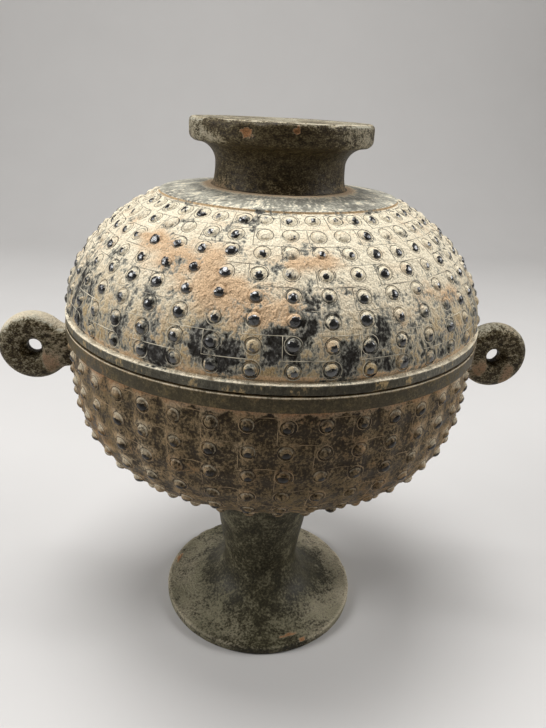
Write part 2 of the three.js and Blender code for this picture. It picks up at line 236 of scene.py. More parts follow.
class FootSizes(bpy.types.PropertyGroup):
    """Sizes of the stem and trumpet foot."""
    radius: length("Foot radius", "Outer radius of the foot", FOOT_HIGH.x)
    edge_height: length("Foot edge", "Height of the foot's upright edge", 4.5 * MM)
    shoulder: length("Shoulder", "How far inside the foot's edge its cove begins", 1.2 * MM)
    edge_round: length("Edge rounding", "Rounding of the edge's top", 0.8 * MM)
    ring_width: length("Foot ring", "Width of the flat ring that the foot stands on", 12 * MM)
    ring_round: length("Ring rounding", "Rounding of the ring's two edges", 1 * MM)
    hollow_height: length("Hollow height", "Depth of the hollow under the foot", 20 * MM)
    hollow_top: length("Hollow top radius", "Radius of the flat top of the hollow", 14 * MM)
    waist_radius: length("Waist radius", "Radius of the stem where it is thinnest", 21.8 * MM)
    waist_height: length("Waist height", "Height of the thinnest part of the stem", 27 * MM)
    top_radius: length("Stem top radius", "Radius of the stem under the bowl", 35.4 * MM)
    flare: number("Stem flare", "How late the stem widens towards the bowl", 1.3)
    set_back: length("Set back", "How far the worn surface lies inside the turned outline", 0.15 * MM)
    chip_depth: length("Chip depth", "Depth of the chips along the foot's edge", 0.7 * MM)


class BowlSizes(bpy.types.PropertyGroup):
    """Sizes of the bowl."""
    band_radius: length("Band radius", "Outer radius of the smooth band", 101.1 * MM)
    ground_depth: length("Ground depth", "How far the ground lies behind the band", 1.3 * MM)
    depth: length("Bowl depth", "Depth of the round underside's full curve", 72 * MM)
    fullness: number("Bowl fullness", "Power of the bowl's curve, higher is squarer", 3.55)
    band_height: length("Band height", "Height of the smooth band", 6.8 * MM)
    band_rise: length("Band rise", "Rise of the face that steps out to the band", 0.1 * MM)
    band_round: length("Band rounding", "Rounding of the band's lower edge", 0.3 * MM)
    edge: length("Rim edge", "Rounding of the rim's worn edge", 0.5 * MM)
    lip_height: length("Lip height", "How far the lip stands up inside the lid", 6 * MM)
    lip_radius: length("Lip radius", "Outer radius of the lip", 96.1 * MM)
    lip_round: length("Lip rounding", "Rounding of the lip's two edges", 0.9 * MM)
    lip_foot: length("Lip foot", "Rounding of the corner at the lip's foot", 0.4 * MM)
    inside_radius: length("Inside radius", "Radius of the bowl's inside", 92.3 * MM)
    inside_depth: length("Inside depth", "Depth of the inside below the rim", 63.8 * MM)
    pattern_end: length("Pattern end", "Radius at which the bosses end below", 54 * MM)
    pattern_margin: length("Pattern margin", "Plain ground above and below the bosses", 1 * MM)
    rows: count("Boss rows", "Rows of bosses on the bowl", 8)
    boss_height: length("Boss height", "Height of a boss on the bowl", 1.3 * MM)
    channel: length("Channel", "How far the ground sinks between the columns of bosses", 0.85 * MM)
    dip: length("Dip", "How far the ground sinks between the rows of bosses", 0.5 * MM)
    chip_depth: length("Chip depth", "Depth of the chips along the rim", 0.4 * MM)


class LidSizes(bpy.types.PropertyGroup):
    """Sizes of the domed lid."""
    band_radius: length("Lid band radius", "Outer radius of the lid's smooth band", 100.8 * MM)
    band_height: length("Lid band height", "Height of the lid's smooth band", 4.2 * MM)
    ledge: length("Ledge", "Width of the ledge on top of the lid's band", 2 * MM)
    ledge_rise: length("Ledge rise", "How far the ledge rises inwards", 0.3 * MM)
    ledge_round: length("Ledge rounding", "Rounding of the ledge's worn edge", 0.3 * MM)
    ledge_foot: length("Ledge foot", "Rounding of the corner behind the ledge", 0.2 * MM)
    rim_round: length("Rim rounding", "Rounding of the lid's lower edge outside", 0.9 * MM)
    mouth_round: length("Mouth rounding", "Rounding of the lid's lower edge inside", 0.7 * MM)
    rise: length("Dome rise", "Rise of the dome's full curve", 64.6 * MM)
    rebate_radius: length("Rebate radius", "Radius of the rebate over the bowl's lip", 96.6 * MM)
    rebate_height: length("Rebate height", "Height of the rebate", 6.3 * MM)
    rebate_round: length("Rebate rounding", "Rounding of the rebate's corner", 0.5 * MM)
    inside_radius: length("Lid inside radius", "Radius of the lid's inside", 92.8 * MM)
    inside_rise: length("Lid inside rise", "Rise of the inside above the rebate", 42.9 * MM)
    inside_round: length("Lid inside rounding", "Rounding of the inside's lower edge", 0.8 * MM)
    collar_radius: length("Collar radius", "Radius of the smooth collar", 55.8 * MM)
    collar_step: length("Collar step", "Height of the collar's edge", 0.9 * MM)
    collar_round: length("Collar rounding", "Rounding of the collar's edge", 0.35 * MM)
    seat_radius: length("Knob seat radius", "Radius of the flat under the knob", 34.2 * MM)
    pattern_margin: length("Pattern margin", "Plain ground above and below the bosses", 0.7 * MM)
    nook: length("Nook", "How far the dome's foot is cut in behind the ledge", 1.2 * MM)
    rows: count("Boss rows", "Rows of bosses on the lid", 8)
    boss_height: length("Boss height", "Height of a boss on the lid", 1.2 * MM)
    chip_depth: length("Chip depth", "Depth of the chips along the ledge", 0.5 * MM)
    crust: length("Crust", "Middle thickness of the crust of earth", 0.35 * MM)
    lumps: length("Lumps", "How far lumps stand out of the crust of earth", 0.55 * MM)
    burying: length("Burying", "How deep the crust of earth buries the lines", 0.7 * MM)


class KnobSizes(bpy.types.PropertyGroup):
    """Sizes of the spool-shaped knob."""
    rim_radius: length("Rim radius", "Radius of the knob's rim", KNOB_HIGH.x)
    rim_height: length("Rim height", "Height of the knob's upright rim", 10.4 * MM)
    edge: length("Rim edge", "Rounding of the rim's edges", 2.5 * MM)
    overhang: length("Overhang", "How far the rim stands out past the neck's flare", 2.5 * MM)
    overhang_rise: length("Overhang rise", "How far the rim's underside rises outwards", 1.5 * MM)
    under_round: length("Under rounding", "Rounding of the rim's lower edge", 2 * MM)
    flare_round: length("Flare rounding", "Rounding where the flare meets the rim", 0.8 * MM)
    neck_radius: length("Neck radius", "Radius of the neck", 30.3 * MM)
    neck_height: length("Neck height", "Height of the neck above the lid", 10 * MM)
    base_radius: length("Base radius", "Radius of the knob's foot on the lid", 32.2 * MM)
    set_back: length("Set back", "How far the worn surface lies inside the turned outline", 0.2 * MM)
    chip_depth: length("Chip depth", "Depth of the chips along the rim", 0.9 * MM)
    nick_depth: length("Nick depth", "Depth of the nicks on the rim's front", 0.7 * MM)


class RingSizes(bpy.types.PropertyGroup):
    """Sizes of the ring handles."""
    radius: length("Ring radius", "Outer radius of a ring", 17.7 * MM)
    thickness: length("Ring thickness", "Thickness of a ring", 13 * MM)
    hole: length("Hole radius", "Radius of the hole at its waist", 3.7 * MM)
    mouth: length("Hole mouth", "Radius of the coned hole at the ring's faces", 6.2 * MM)
    edge: length("Ring edge", "How far in the ring's faces begin to round off", 6 * MM)
    bevel: length("Hole bevel", "Width of the worn edge at the hole's mouth", 0.5 * MM)
    neck_height: length("Neck height", "Height of the neck at the bowl", 21 * MM)
    squareness: number("Squareness", "Power of the rounding of a ring's edge, 2 is round", 2.3)
    bite: length("Bite", "How deep the neck goes into the bowl", 2.8 * MM)


class CarvingSizes(bpy.types.PropertyGroup):
    """Sizes of the bosses and of the incised lines."""
    columns: count("Boss columns", "Bosses in one row", 42)
    boss_radius: length("Boss radius", "Radius of a boss", 2.55 * MM)
    groove_radius: length("Groove radius", "Outer radius of the groove round a boss", 2.95 * MM)
    groove_depth: length("Groove depth", "Depth of that groove", 0.55 * MM)
    halo_radius: length("Halo radius", "Radius of the fine earth-filled ring round a boss", 3.3 * MM)
    wander: length("Wander", "How far a boss strays from its place", 0.55 * MM)
    line_offset: length("Line offset", "Distance of the lines from a boss's middle", 3.7 * MM)
    line_width: length("Line width", "Width of an earth-filled line", 0.7 * MM)
    line_lift: length("Line lift", "How far the earth stands out of a line", 0.13 * MM)


class StoneColours(bpy.types.PropertyGroup):
    """Colours of the stone and of the earth on it."""
    stone_dark: colour("Dark stone", "Darkest mottling of the stone", "1a1611")
    stone_middle: colour("Middle stone", "Slate tone of the stone", "3a3835")
    stone_light: colour("Light stone", "Palest mottling of the stone", "686663")
    olive_dark: colour("Dark olive stone", "Darkest mottling of rings and knob", "241b0d")
    olive_middle: colour("Olive stone", "Main tone of rings and knob", "423722")
    olive_light: colour("Light olive stone", "Palest mottling of rings and knob", "60563e")
    moss: colour("Grey-green film", "Thin film of earth on rings and knob", "867a58")
    foot_dark: colour("Foot dark", "Dark mottling of the foot", "2d2a1e")
    foot_middle: colour("Foot middle", "Ground tone of the foot", "403c2c")
    foot_light: colour("Foot light", "Pale mottling of the foot", "524d3a")
    foot_film: colour("Foot film", "Thin film of earth on the foot", "6e6952")
    # The foot's dust colour also stands in for painted light on the foot's lit sides.
    foot_dust_and_light: colour("Foot dust", "Dust settled on the spread of the foot", "9c967e")
    brown_dark: colour("Dark brown stone", "Darkest mottling of the bowl", "2b2012")
    brown_tip: colour("Rubbed brown stone", "Dark tips of the bowl's bosses", "140d05")
    brown_middle: colour("Brown stone", "Main tone of the bowl", "40341f")
    brown_light: colour("Light brown stone", "Palest mottling of the bowl", "604e34")
    cream: colour("Cream earth", "Dried earth on the top of the lid", "f2e7cd")
    tan: colour("Tan earth", "Dried earth on the lid, and the palest earth elsewhere", "e4d7bd")
    peach: colour("Peach earth", "Thick crust of earth on the lid", "d2af89")
    umber: colour("Umber earth", "Thin film of earth on the bowl", "76684a")
    film: colour("Film of earth", "Thin greyish film on the lid, and earth on rings and knob", "bdbaaa")
    rust: colour("Rusty earth", "Orange-brown earth in corners and patches", "a87a54")
    # The loam colour also darkens the lid's lower rows as painted shade.
    loam_and_shade: colour("Loam", "Darkest earth, low on the lid", "ae9770")
    sand: colour("Sandy earth", "Middle tone of the earth on the bowl, and its lines", "b09674")
    clay: colour("Clay", "Darkest earth on the bowl", "766545")
    band: colour("Band", "Olive film on the smooth bands", "4c4736")
    polished: colour("Polished stone", "Rubbed tips of the lid's bosses", "1c1c1d")
    floor: colour("Floor", "Sheet of paper under the bowl", "cccac8")


class StageSettings(bpy.types.PropertyGroup):
    """Camera, lights and paper."""
    lens: number("Lens", "Focal length in millimetres on a 36 mm frame height", 30.045)
    heading: tilt("Heading", "Turn of the camera from the bowl's front", 5)
    pitch: tilt("Pitch", "Downward tilt of the camera", 23.28)
    roll: tilt("Roll", "Sideways tilt of the camera", 3.12)
    place: FloatVectorProperty(name="Camera place", description="Place of the camera", size=3,
                               default=(-24.16 * MM, -296.63 * MM, 276.87 * MM),
                               subtype="TRANSLATION", unit="LENGTH", precision=5)


def ease(values, low, high):
    """Rises from 0 at low to 1 at high along the S-curve 3t squared less 2t cubed."""
    part = np.clip((values - low) / (high - low), 0, 1)
    return part * part * (3 - 2 * part)


def mottle(points, cell, seed):
    """Smooth noise between -1 and 1: each corner of a lattice with this cell size has a number hashed
    from its place and the seed, and a point blends the eight corners round it by the S-curve."""
    place = points / cell
    corner = np.floor(place).astype(np.int64)
    part = place - corner
    part = part * part * (3 - 2 * part)
    total = np.zeros(points.shape[:-1])
    for step in product((0, 1), repeat=3):
        mixed = ((corner + np.array(step)) * SCATTER).sum(axis=-1) + seed * SEED_STEP
        mixed = (mixed ^ (mixed >> 13)) * BIT_MIX
        value = ((mixed ^ (mixed >> 16)) & 0xFFFF) / 0x7FFF - 1
        total += value * np.where(step, part, 1 - part).prod(axis=-1)
    return total


def outline(corners, step):
    """Radius-height outline through corners, each given as a radius, a height and a rounding. A corner is
    rounded by the quadratic curve that leaves its sides that far away, and then no stretch is longer
    than step."""
    corners, easing = np.split(np.array(corners, float), [2], axis=1)
    points = [corners[:1]]
    part = np.linspace(0, 1, 4)[:, None]
    for before, here, after, reach in zip(corners, corners[1:], corners[2:], easing[1:, 0]):
        if reach == 0:
            points.append(here[None])
            continue
        start = here + (before - here) * reach / np.linalg.norm(before - here)
        end = here + (after - here) * reach / np.linalg.norm(after - here)
        points.append((1 - part) ** 2 * start + 2 * part * (1 - part) * here + part ** 2 * end)
    points.append(corners[-1:])
    return refined(np.concatenate(points), step)


def refined(points, step):
    """The same polyline with each stretch cut into equal lengths of at most step."""
    lengths = np.linalg.norm(np.diff(points, axis=0), axis=1)
    counts = np.maximum(1, np.ceil(lengths / step)).astype(int)
    places = [i + np.arange(n) / n for i, n in enumerate(counts)]
    places = np.append(np.concatenate(places), len(points) - 1)
    marks = np.arange(len(points))
    return np.stack([np.interp(places, marks, points[:, i]) for i in (0, 1)], axis=1)


def superellipse(radius, rise, power, angles):
    """Radius and height of the curve (r / radius)^power + (z / rise)^power = 1 at eccentric angles."""
    return np.stack([radius * np.cos(angles) ** (2 / power),
                     rise * np.sin(angles) ** (2 / power)], axis=-1)


class Course:
    """A curve of radius and height that can be walked by distance from its start."""

    def __init__(self, points):
        self.points = points
        self.marks = np.append(0, np.cumsum(np.linalg.norm(np.diff(points, axis=0), axis=1)))
        along = np.gradient(points, self.marks, axis=0)
        along /= np.linalg.norm(along, axis=1, keepdims=True)
        self.normals = np.stack([along[:, 1], -along[:, 0]], axis=1)
        self.length = self.marks[-1]

    def at(self, distance):
        """Radius, height and the two parts of the outward normal at each distance."""
        both = np.concatenate([self.points, self.normals], axis=1)
        return [np.interp(distance, self.marks, both[:, i]) for i in range(4)]


def turned_rows(profile, columns):
    """Rows of a turned surface: every outline point goes once round the axis, starting at the front.
    The normal is square to the outline."""
    along = np.gradient(profile, axis=0)
    along /= np.maximum(np.linalg.norm(along, axis=1, keepdims=True), 1e-12)
    shape = (len(profile), columns)
    angle = (np.arange(columns) - CELL_FACES // 2) * TURN / columns
    rows = {"angle": angle, "radius": profile[:, :1], "height": profile[:, 1:],
            "out": along[:, 1:], "up": -along[:, :1]}
    rows.update(dict.fromkeys(("lift", "groove", "crescent", "cap", "lit_brow", "along"), 0.0))
    return {key: np.broadcast_to(value, shape) for key, value in rows.items()}


def boss_places(carving, row_count):
    """Where each boss strays from its cell's middle, sideways and upwards, its size and the turn of its
    crescent, as hashed noise over rows and columns."""
    half = 0.5
    grid = np.stack(np.meshgrid(np.arange(row_count), np.arange(carving.columns), [half],
                                indexing="ij"), axis=-1)[:, :, 0] + half
    across, upward, growth, swirl = [mottle(grid, half, seed) for seed in (3, 5, 8, 9)]
    return (across * carving.wander, upward * carving.wander,
            1 + BOSS_GROWTH * growth, 1 + BOSS_SWIRL * swirl)


def crowding(radius, columns):
    """How far bosses shrink where their columns draw together: half of a cell's width at this radius
    over the half width that a full boss needs, and at most 1."""
    return np.minimum(1, radius * np.pi / columns / FULL_CELL)


def bossed_rows(course, start, pitch, row_count, boss_height, carving, keep):
    """Rows of a course covered with bosses. A cell's grid is drawn as rings: its square rings become
    circles round the boss, and its outermost ring stays on the cell's edge. A boss is the dome
    H (1 - (d / R)^1.9)^0.75 over distance d, with a fine ring cut round its foot, which holds earth
    along a crescent. The cap is a disc low on the dome, partly painted shade on the boss's lower side,
    and the brow is the dome's upper rest, painted pale as light from above. keep gives, from angle and
    height, how much of a boss stands there."""
    half = CELL_FACES // 2
    radius = carving.boss_radius
    rings = np.array([*BOSS_RINGS, carving.groove_radius / radius, GROUND_RING / radius]) * radius
    row = np.arange(row_count * CELL_FACES + 1)
    cell_row = np.minimum(row // CELL_FACES, row_count - 1)
    column = np.arange(carving.columns * CELL_FACES)
    cell_column = column // CELL_FACES
    b, a = np.meshgrid(row - cell_row * CELL_FACES - half, column % CELL_FACES - half, indexing="ij")
    shell = np.maximum(abs(a), abs(b))
    edge = shell == half
    bearing = np.arctan2(b, a)
    across, upward, growth, swirl = [part[cell_row][:, cell_column]
                                     for part in boss_places(carving, row_count)]
    middle = (start + (cell_row + 0.5) * pitch)[:, None]
    size = crowding(course.at(middle)[0], carving.columns) * growth
    distance = rings[np.minimum(shell, half - 1)] * size
    along = middle + np.where(edge, b / half * pitch / 2, distance * np.sin(bearing) + upward)
    base_radius, base_height, out, up = course.at(along)
    pitch_angle = TURN / carving.columns
    aside = np.where(edge, a / half * pitch_angle / 2, (distance * np.cos(bearing) + across) / base_radius)
    angle = cell_column * pitch_angle + aside
    kept = keep(angle, base_height)
    part = np.clip(distance / (radius * size), 0, 1)
    dome = np.where(edge, 0, (1 - part ** 1.9) ** 0.75) * kept
    groove = np.where(shell == len(BOSS_RINGS) - 1, 1.0, 0.0) * kept
    lean = bearing + CAP_LEAN - CAP_LEAN * swirl
    sideways = part * np.cos(lean)
    upwards = part * np.sin(lean)
    reach = CAP_REACH + CAP_GROWTH * (growth - 1)
    cap = (1 - ease(np.hypot(sideways, upwards + CAP_DROP), reach, reach + CAP_FADE)) * (dome > 0)
    crescent = groove * ease(np.cos(bearing - swirl), -0.3, 0.2)
    lift = dome * boss_height * size - groove * carving.groove_depth
    return {
        "angle": angle, "radius": base_radius, "height": base_height, "out": out, "up": up,
        "lift": lift, "groove": groove, "crescent": crescent, "along": along,
        "cap": cap, "lit_brow": (1 - cap) * ease(upwards, -0.2, 0.5) * (dome > 0),
    }


def joined(*blocks):
    """Blocks of rows one after the other."""
    return {key: np.concatenate([block[key] for block in blocks]) for key in blocks[0]}


def around(angle, radius, height):
    """Points at an angle from the front towards the right handle, a radius and a height."""
    return np.stack([radius * np.sin(angle), -radius * np.cos(angle), height], axis=-1)


def plain_points(rows):
    """Points of the rows before anything is carved."""
    return around(rows["angle"], rows["radius"], rows["height"])


def hand_worked(points, seed):
    """Unevenness that hand grinding leaves: a slow swell and a shorter ripple along the normal."""
    return (SWELL_DEPTH * mottle(points, SWELL_LENGTH, seed)
            + RIPPLE_DEPTH * mottle(points, RIPPLE_LENGTH, seed + 1))


def lifted(rows, seed):
    """Points of the rows, pushed along their normals by the carving and by hand grinding."""
    reach = np.clip(rows["radius"] / AXIS_FADE, 0, 1)
    lift = rows["lift"] + hand_worked(plain_points(rows), seed) * reach
    return around(rows["angle"], rows["radius"] + rows["out"] * lift, rows["height"] + rows["up"] * lift)


def new_piece(name, points, faces, marks, material):
    """A mesh object from an array of points and arrays of faces with equal numbers of corners. Marks
    are values at the points that the material reads by name."""
    mesh = bpy.data.meshes.new(name)
    mesh.vertices.add(len(points))
    mesh.vertices.foreach_set("co", points.ravel())
    corners = np.concatenate([part.ravel() for part in faces])
    sides = np.concatenate([np.full(len(part), part.shape[1]) for part in faces])
    mesh.loops.add(len(corners))
    mesh.loops.foreach_set("vertex_index", corners.astype(np.int32))
    mesh.polygons.add(len(sides))
    mesh.polygons.foreach_set("loop_start", (np.cumsum(sides) - sides).astype(np.int32))
    mesh.update(calc_edges=True)
    mesh.shade_smooth()
    for mark, values in marks.items():
        mesh.attributes.new(mark, "FLOAT", "POINT").data.foreach_set("value", values.ravel())
    if mesh.validate():
        raise RuntimeError(f"the mesh of {name} has faulty faces")
    mesh.materials.append(material)
    piece = bpy.data.objects.new(name, mesh)
    bpy.context.scene.collection.objects.link(piece)
    return piece


def grid_faces(rows, columns, wraps):
    """Quads of a grid that closes on itself sideways, and also from its last row to its first if it
    wraps. Seen from outside, columns run to the right and rows run up."""
    row, column = np.meshgrid(np.arange(rows if wraps else rows - 1), np.arange(columns), indexing="ij")
    above = (row + 1) % rows
    right = (column + 1) % columns
    corners = [row * columns + column, row * columns + right,
               above * columns + right, above * columns + column]
    return np.stack(corners, axis=-1).reshape(-1, 4)


def turned_piece(name, points, marks, material):
    """A closed turned shell: rows from one point on the axis to another, each row once round. The
    first and last rows shrink to one point each."""
    rows, columns = points.shape[:2]
    body = points[1:-1].reshape(-1, 3)
    first, last = len(body), len(body) + 1
    column = np.arange(columns)
    right = (column + 1) % columns
    top = (rows - 3) * columns
    caps = np.concatenate([
        np.stack([np.full(columns, first), right, column], axis=1),
        np.stack([np.full(columns, last), top + column, top + right], axis=1),
    ])
    everything = np.concatenate([body, points[0, :1], points[-1, :1]])
    kept = {key: np.concatenate([value[1:-1].ravel(), value[0, :1], value[-1, :1]])
            for key, value in marks.items()}
    return new_piece(name, everything, [grid_faces(rows - 2, columns, False), caps], kept, material)


def weighted(amounts, features):
    """Sum of the features, each times its own amount, on top of the amount for the ground."""
    everything = {"ground": 1, **features}
    return sum(amount * everything[name] for name, amount in amounts.items())


def stone_marks(earth, tone, warm, rubbed=0, dressed=0):
    """The marks that the stone's material reads at each point: how much earth lies there, how dark and how
    warm it is, how far the stone is rubbed and how smoothly it is dressed. Earth and tone also carry
    painted light and shade."""
    none = np.zeros_like(earth)
    return {"earth": earth, "tone": tone, "warm": warm, "rubbed": none + rubbed, "dressed": none + dressed}


def settled(piece, body, slot, *nodes):
    """Rides the piece on its body and hides the CAD nodes that it stands for. The slot is not used."""
    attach(piece, body)
    if nodes:
        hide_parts(*nodes)


def add_node(tree, kind, links=None, stops=(), **settings):
    """Adds a node with its settings. Links fill its inputs, by name or number, with a value or with
    another node's output, and stops are a colour ramp's places and colours."""
    node = tree.nodes.new(kind)
    for name, value in settings.items():
        setattr(node, name, value)
    for socket, value in (links or {}).items():
        if isinstance(value, bpy.types.NodeSocket):
            tree.links.new(value, node.inputs[socket])
        else:
            node.inputs[socket].default_value = value
    for index, (place, tone) in enumerate(stops):
        ramp = node.color_ramp.elements
        stop = ramp[index] if index < 2 else ramp.new(place)
        stop.position = place
        stop.color = (*tone, 1)
    return node


def new_material(name):
    """A new material with its node tree, its shader and the place of a point on the piece."""
    material = bpy.data.materials.new(name)
    material.use_nodes = True
    tree = material.node_tree
    place = add_node(tree, "ShaderNodeTexCoord").outputs["Object"]
    return material, tree, tree.nodes["Principled BSDF"], place


# Grain sizes of the stone and of the earth on it, and how strong the finer grain in each is.
PATCH = 24 * MM
MOTTLE = 6 * MM
GRIT = 1.2 * MM
SPECK = 0.5 * MM
FINER_GRAIN = 0.62
# Cover at which earth hides half of the stone: the mean of the two noises that break it up, plus a half.
HALF_COVER = 2.6
# Depth of the pits and grit, and of the grain of earth in the lines.
PIT_DEPTH = 0.8 * MM
LINE_GRAIN = 0.2 * MM
# Roughness of dried earth, of earth packed into lines and of stone rubbed bare.
EARTH_ROUGH = 0.95
PACKED_ROUGH = 0.85
RUBBED_ROUGH = 0.2
# Nephrite and serpentine both bend light by about this much.
STONE_IOR = 1.58


def buried_stone(name, stone, film, earth, warm, polished, *, film_cover, dullness, sheen, gloss,
                 coarseness, stretch, softness):
    """Mottled stone under a thin film and patches of dried earth. The piece's marks say how much earth
    lies at a point, how dark and how warm it is and how far the stone is rubbed. Noise breaks up edges.
    Stone has a dark, a pale and a middle tone, and earth a pale, a dark and a middle one. The spots grow
    with the coarseness, and a stretch under 1 makes them taller than they are wide. The softness widens
    the fade from stone to earth. Where stone is dressed smooth the film is even, and goes from its first
    colour to its second with the tone."""
    material, tree, shader, place = new_material(name)
    drawn_out = add_node(tree, "ShaderNodeVectorMath", {0: place, 1: (1, 1, stretch)}, operation="MULTIPLY")
    patch, spot, grit, speck = [
        add_node(tree, "ShaderNodeTexNoise",
                 {"Vector": drawn_out.outputs[0], "Scale": 1 / size, "Detail": detail,
                  "Roughness": FINER_GRAIN}).outputs["Fac"]
        for size, detail in ((PATCH * coarseness, 4), (MOTTLE * coarseness, 5),
                             (GRIT * coarseness ** 0.5, 3), (SPECK, 2))]
    earth_mark, tone_mark, warm_mark, rubbed_mark, dressed_mark = [
        add_node(tree, "ShaderNodeAttribute", attribute_name=mark).outputs["Fac"]
        for mark in ("earth", "tone", "warm", "rubbed", "dressed")]
    # Stone: three tones by spots and grit.
    stone_tone = add_node(tree, "ShaderNodeMath", {0: spot, 1: 0.7, 2: grit}, operation="MULTIPLY_ADD")
    stone_colour = add_node(tree, "ShaderNodeValToRGB", {"Fac": stone_tone.outputs[0]},
                            stops=list(zip((0.70, 1.0, 0.86), stone)))
    # Earth: its tone wanders slowly and is flecked by grit.
    earth_tone = tone_mark
    for noise, weight in ((patch, 0.4), (spot, 0.7), (grit, 0.5)):
        earth_tone = add_node(tree, "ShaderNodeMath", {0: noise, 1: weight, 2: earth_tone},
                              operation="MULTIPLY_ADD").outputs[0]
    shifted = add_node(tree, "ShaderNodeMath", {0: earth_tone, 1: 0.8}, operation="SUBTRACT")
    earth_colour = add_node(tree, "ShaderNodeValToRGB", {"Fac": shifted.outputs[0]},
                            stops=list(zip((0.0, 1.0, 0.45), earth)))
    warm_colour = add_node(tree, "ShaderNodeMix",
                           {0: warm_mark, 6: earth_colour.outputs["Color"], 7: (*warm, 1)},
                           data_type="RGBA")
    # Cover: a soft film where earth is thin, then opaque earth with a crisp edge.
    spotted = add_node(tree, "ShaderNodeMath", {0: spot, 1: 2.2, 2: earth_mark}, operation="MULTIPLY_ADD")
    cover = add_node(tree, "ShaderNodeMath", {0: grit, 1: 2.0, 2: spotted.outputs[0]},
                     operation="MULTIPLY_ADD").outputs[0]
    filmed = add_node(tree, "ShaderNodeMapRange",
                      {"Value": cover, "From Min": HALF_COVER - 0.5, "From Max": HALF_COVER + 0.1,
                       "To Max": film_cover}, interpolation_type="SMOOTHSTEP").outputs["Result"]
    covered = add_node(tree, "ShaderNodeMapRange",
                       {"Value": cover, "From Min": HALF_COVER - 0.02 - softness,
                        "From Max": HALF_COVER + 0.16 + softness},
                       interpolation_type="SMOOTHSTEP").outputs["Result"]
    thickness = add_node(tree, "ShaderNodeMapRange",
                         {"Value": cover, "From Min": HALF_COVER - 0.2, "From Max": HALF_COVER + 1.0,
                          "To Min": 0.1, "To Max": 1.5}).outputs["Result"]
    rub = add_node(tree, "ShaderNodeMath", {0: grit, 1: 0.9, 2: rubbed_mark}, operation="MULTIPLY_ADD")
    rubbed = add_node(tree, "ShaderNodeMapRange",
                      {"Value": rub.outputs[0], "From Min": 0.85, "From Max": 1.1},
                      interpolation_type="SMOOTHSTEP").outputs["Result"]
    # Dressed stone: the film is more even, and takes its second colour with the tone.
    evened = add_node(tree, "ShaderNodeMath", {0: dressed_mark, 1: 0.55, 2: filmed},
                      operation="MULTIPLY_ADD")
    film_tone = add_node(tree, "ShaderNodeMath", {0: dressed_mark, 1: tone_mark}, operation="MULTIPLY")
    film_colour = add_node(tree, "ShaderNodeMix",
                           {0: film_tone.outputs[0], 6: (*film[0], 1), 7: (*film[1], 1)}, data_type="RGBA")
    dusty = add_node(tree, "ShaderNodeMix",
                     {0: evened.outputs[0], 6: stone_colour.outputs["Color"], 7: film_colour.outputs[2]},
                     data_type="RGBA")
    earthy = add_node(tree, "ShaderNodeMix",
                      {0: covered, 6: dusty.outputs[2], 7: warm_colour.outputs[2]}, data_type="RGBA")
    bared = add_node(tree, "ShaderNodeMix", {0: rubbed, 6: earthy.outputs[2], 7: (*polished, 1)},
                     data_type="RGBA")
    # Small pits darken every tone.
    grain = add_node(tree, "ShaderNodeMapRange",
                     {"Value": speck, "From Min": 0.33, "From Max": 0.55, "To Min": 0.6, "To Max": 1.05})
    finished = add_node(tree, "ShaderNodeMix",
                        {0: 1.0, 6: bared.outputs[2], 7: grain.outputs["Result"]},
                        data_type="RGBA", blend_type="MULTIPLY")
    dull = add_node(tree, "ShaderNodeMix", {0: covered, 2: dullness, 3: EARTH_ROUGH}, data_type="FLOAT")
    rough = add_node(tree, "ShaderNodeMix", {0: rubbed, 2: dull.outputs[0], 3: RUBBED_ROUGH},
                     data_type="FLOAT")
    crust = add_node(tree, "ShaderNodeMath", {0: grit, 1: thickness}, operation="MULTIPLY")
    relief = add_node(tree, "ShaderNodeMath", {0: spot, 1: 0.6, 2: crust.outputs[0]},
                      operation="MULTIPLY_ADD")
    even = add_node(tree, "ShaderNodeMath", {0: dressed_mark, 1: 0.7, 2: rubbed},
                    operation="MULTIPLY_ADD")
    rugged = add_node(tree, "ShaderNodeMix", {0: even.outputs[0], 2: 0.9, 3: 0.25}, data_type="FLOAT")
    bump = add_node(tree, "ShaderNodeBump",
                    {"Strength": rugged.outputs[0], "Distance": PIT_DEPTH, "Height": relief.outputs[0]})
    tree.links.new(finished.outputs[2], shader.inputs["Base Color"])
    tree.links.new(rough.outputs[0], shader.inputs["Roughness"])
    tree.links.new(bump.outputs["Normal"], shader.inputs["Normal"])
    shader.inputs["IOR"].default_value = STONE_IOR
    # Pitted stone hardly mirrors anything, and rubbed stone does. An even shine stays on the socket.
    shader.inputs["Specular IOR Level"].default_value = sheen
    if gloss != sheen:
        shine = add_node(tree, "ShaderNodeMix", {0: rubbed, 2: sheen, 3: gloss}, data_type="FLOAT")
        tree.links.new(shine.outputs[0], shader.inputs["Specular IOR Level"])
    return material


def earth_in_lines(name, earth, stone):
    """Earth pressed into cut lines: pale along the middle, dark at the edges of the cut as painted shade.
    """
    material, tree, shader, place = new_material(name)
    fill = add_node(tree, "ShaderNodeAttribute", attribute_name="fill").outputs["Fac"]
    spot = add_node(tree, "ShaderNodeTexNoise", {"Vector": place, "Scale": 1 / MOTTLE, "Detail": 5})
    packed = add_node(tree, "ShaderNodeMath", {0: spot.outputs["Fac"], 1: 1.6, 2: fill},
                      operation="MULTIPLY_ADD")
    mask = add_node(tree, "ShaderNodeMapRange",
                    {"Value": packed.outputs[0], "From Min": 0.95, "From Max": 1.9})
    tint = add_node(tree, "ShaderNodeMix",
                    {0: mask.outputs["Result"], 6: (*stone, 1), 7: (*earth, 1)}, data_type="RGBA")
    bump = add_node(tree, "ShaderNodeBump",
                    {"Strength": 0.4, "Distance": LINE_GRAIN, "Height": spot.outputs["Fac"]})
    tree.links.new(tint.outputs[2], shader.inputs["Base Color"])
    tree.links.new(bump.outputs["Normal"], shader.inputs["Normal"])
    shader.inputs["Roughness"].default_value = PACKED_ROUGH
    return material


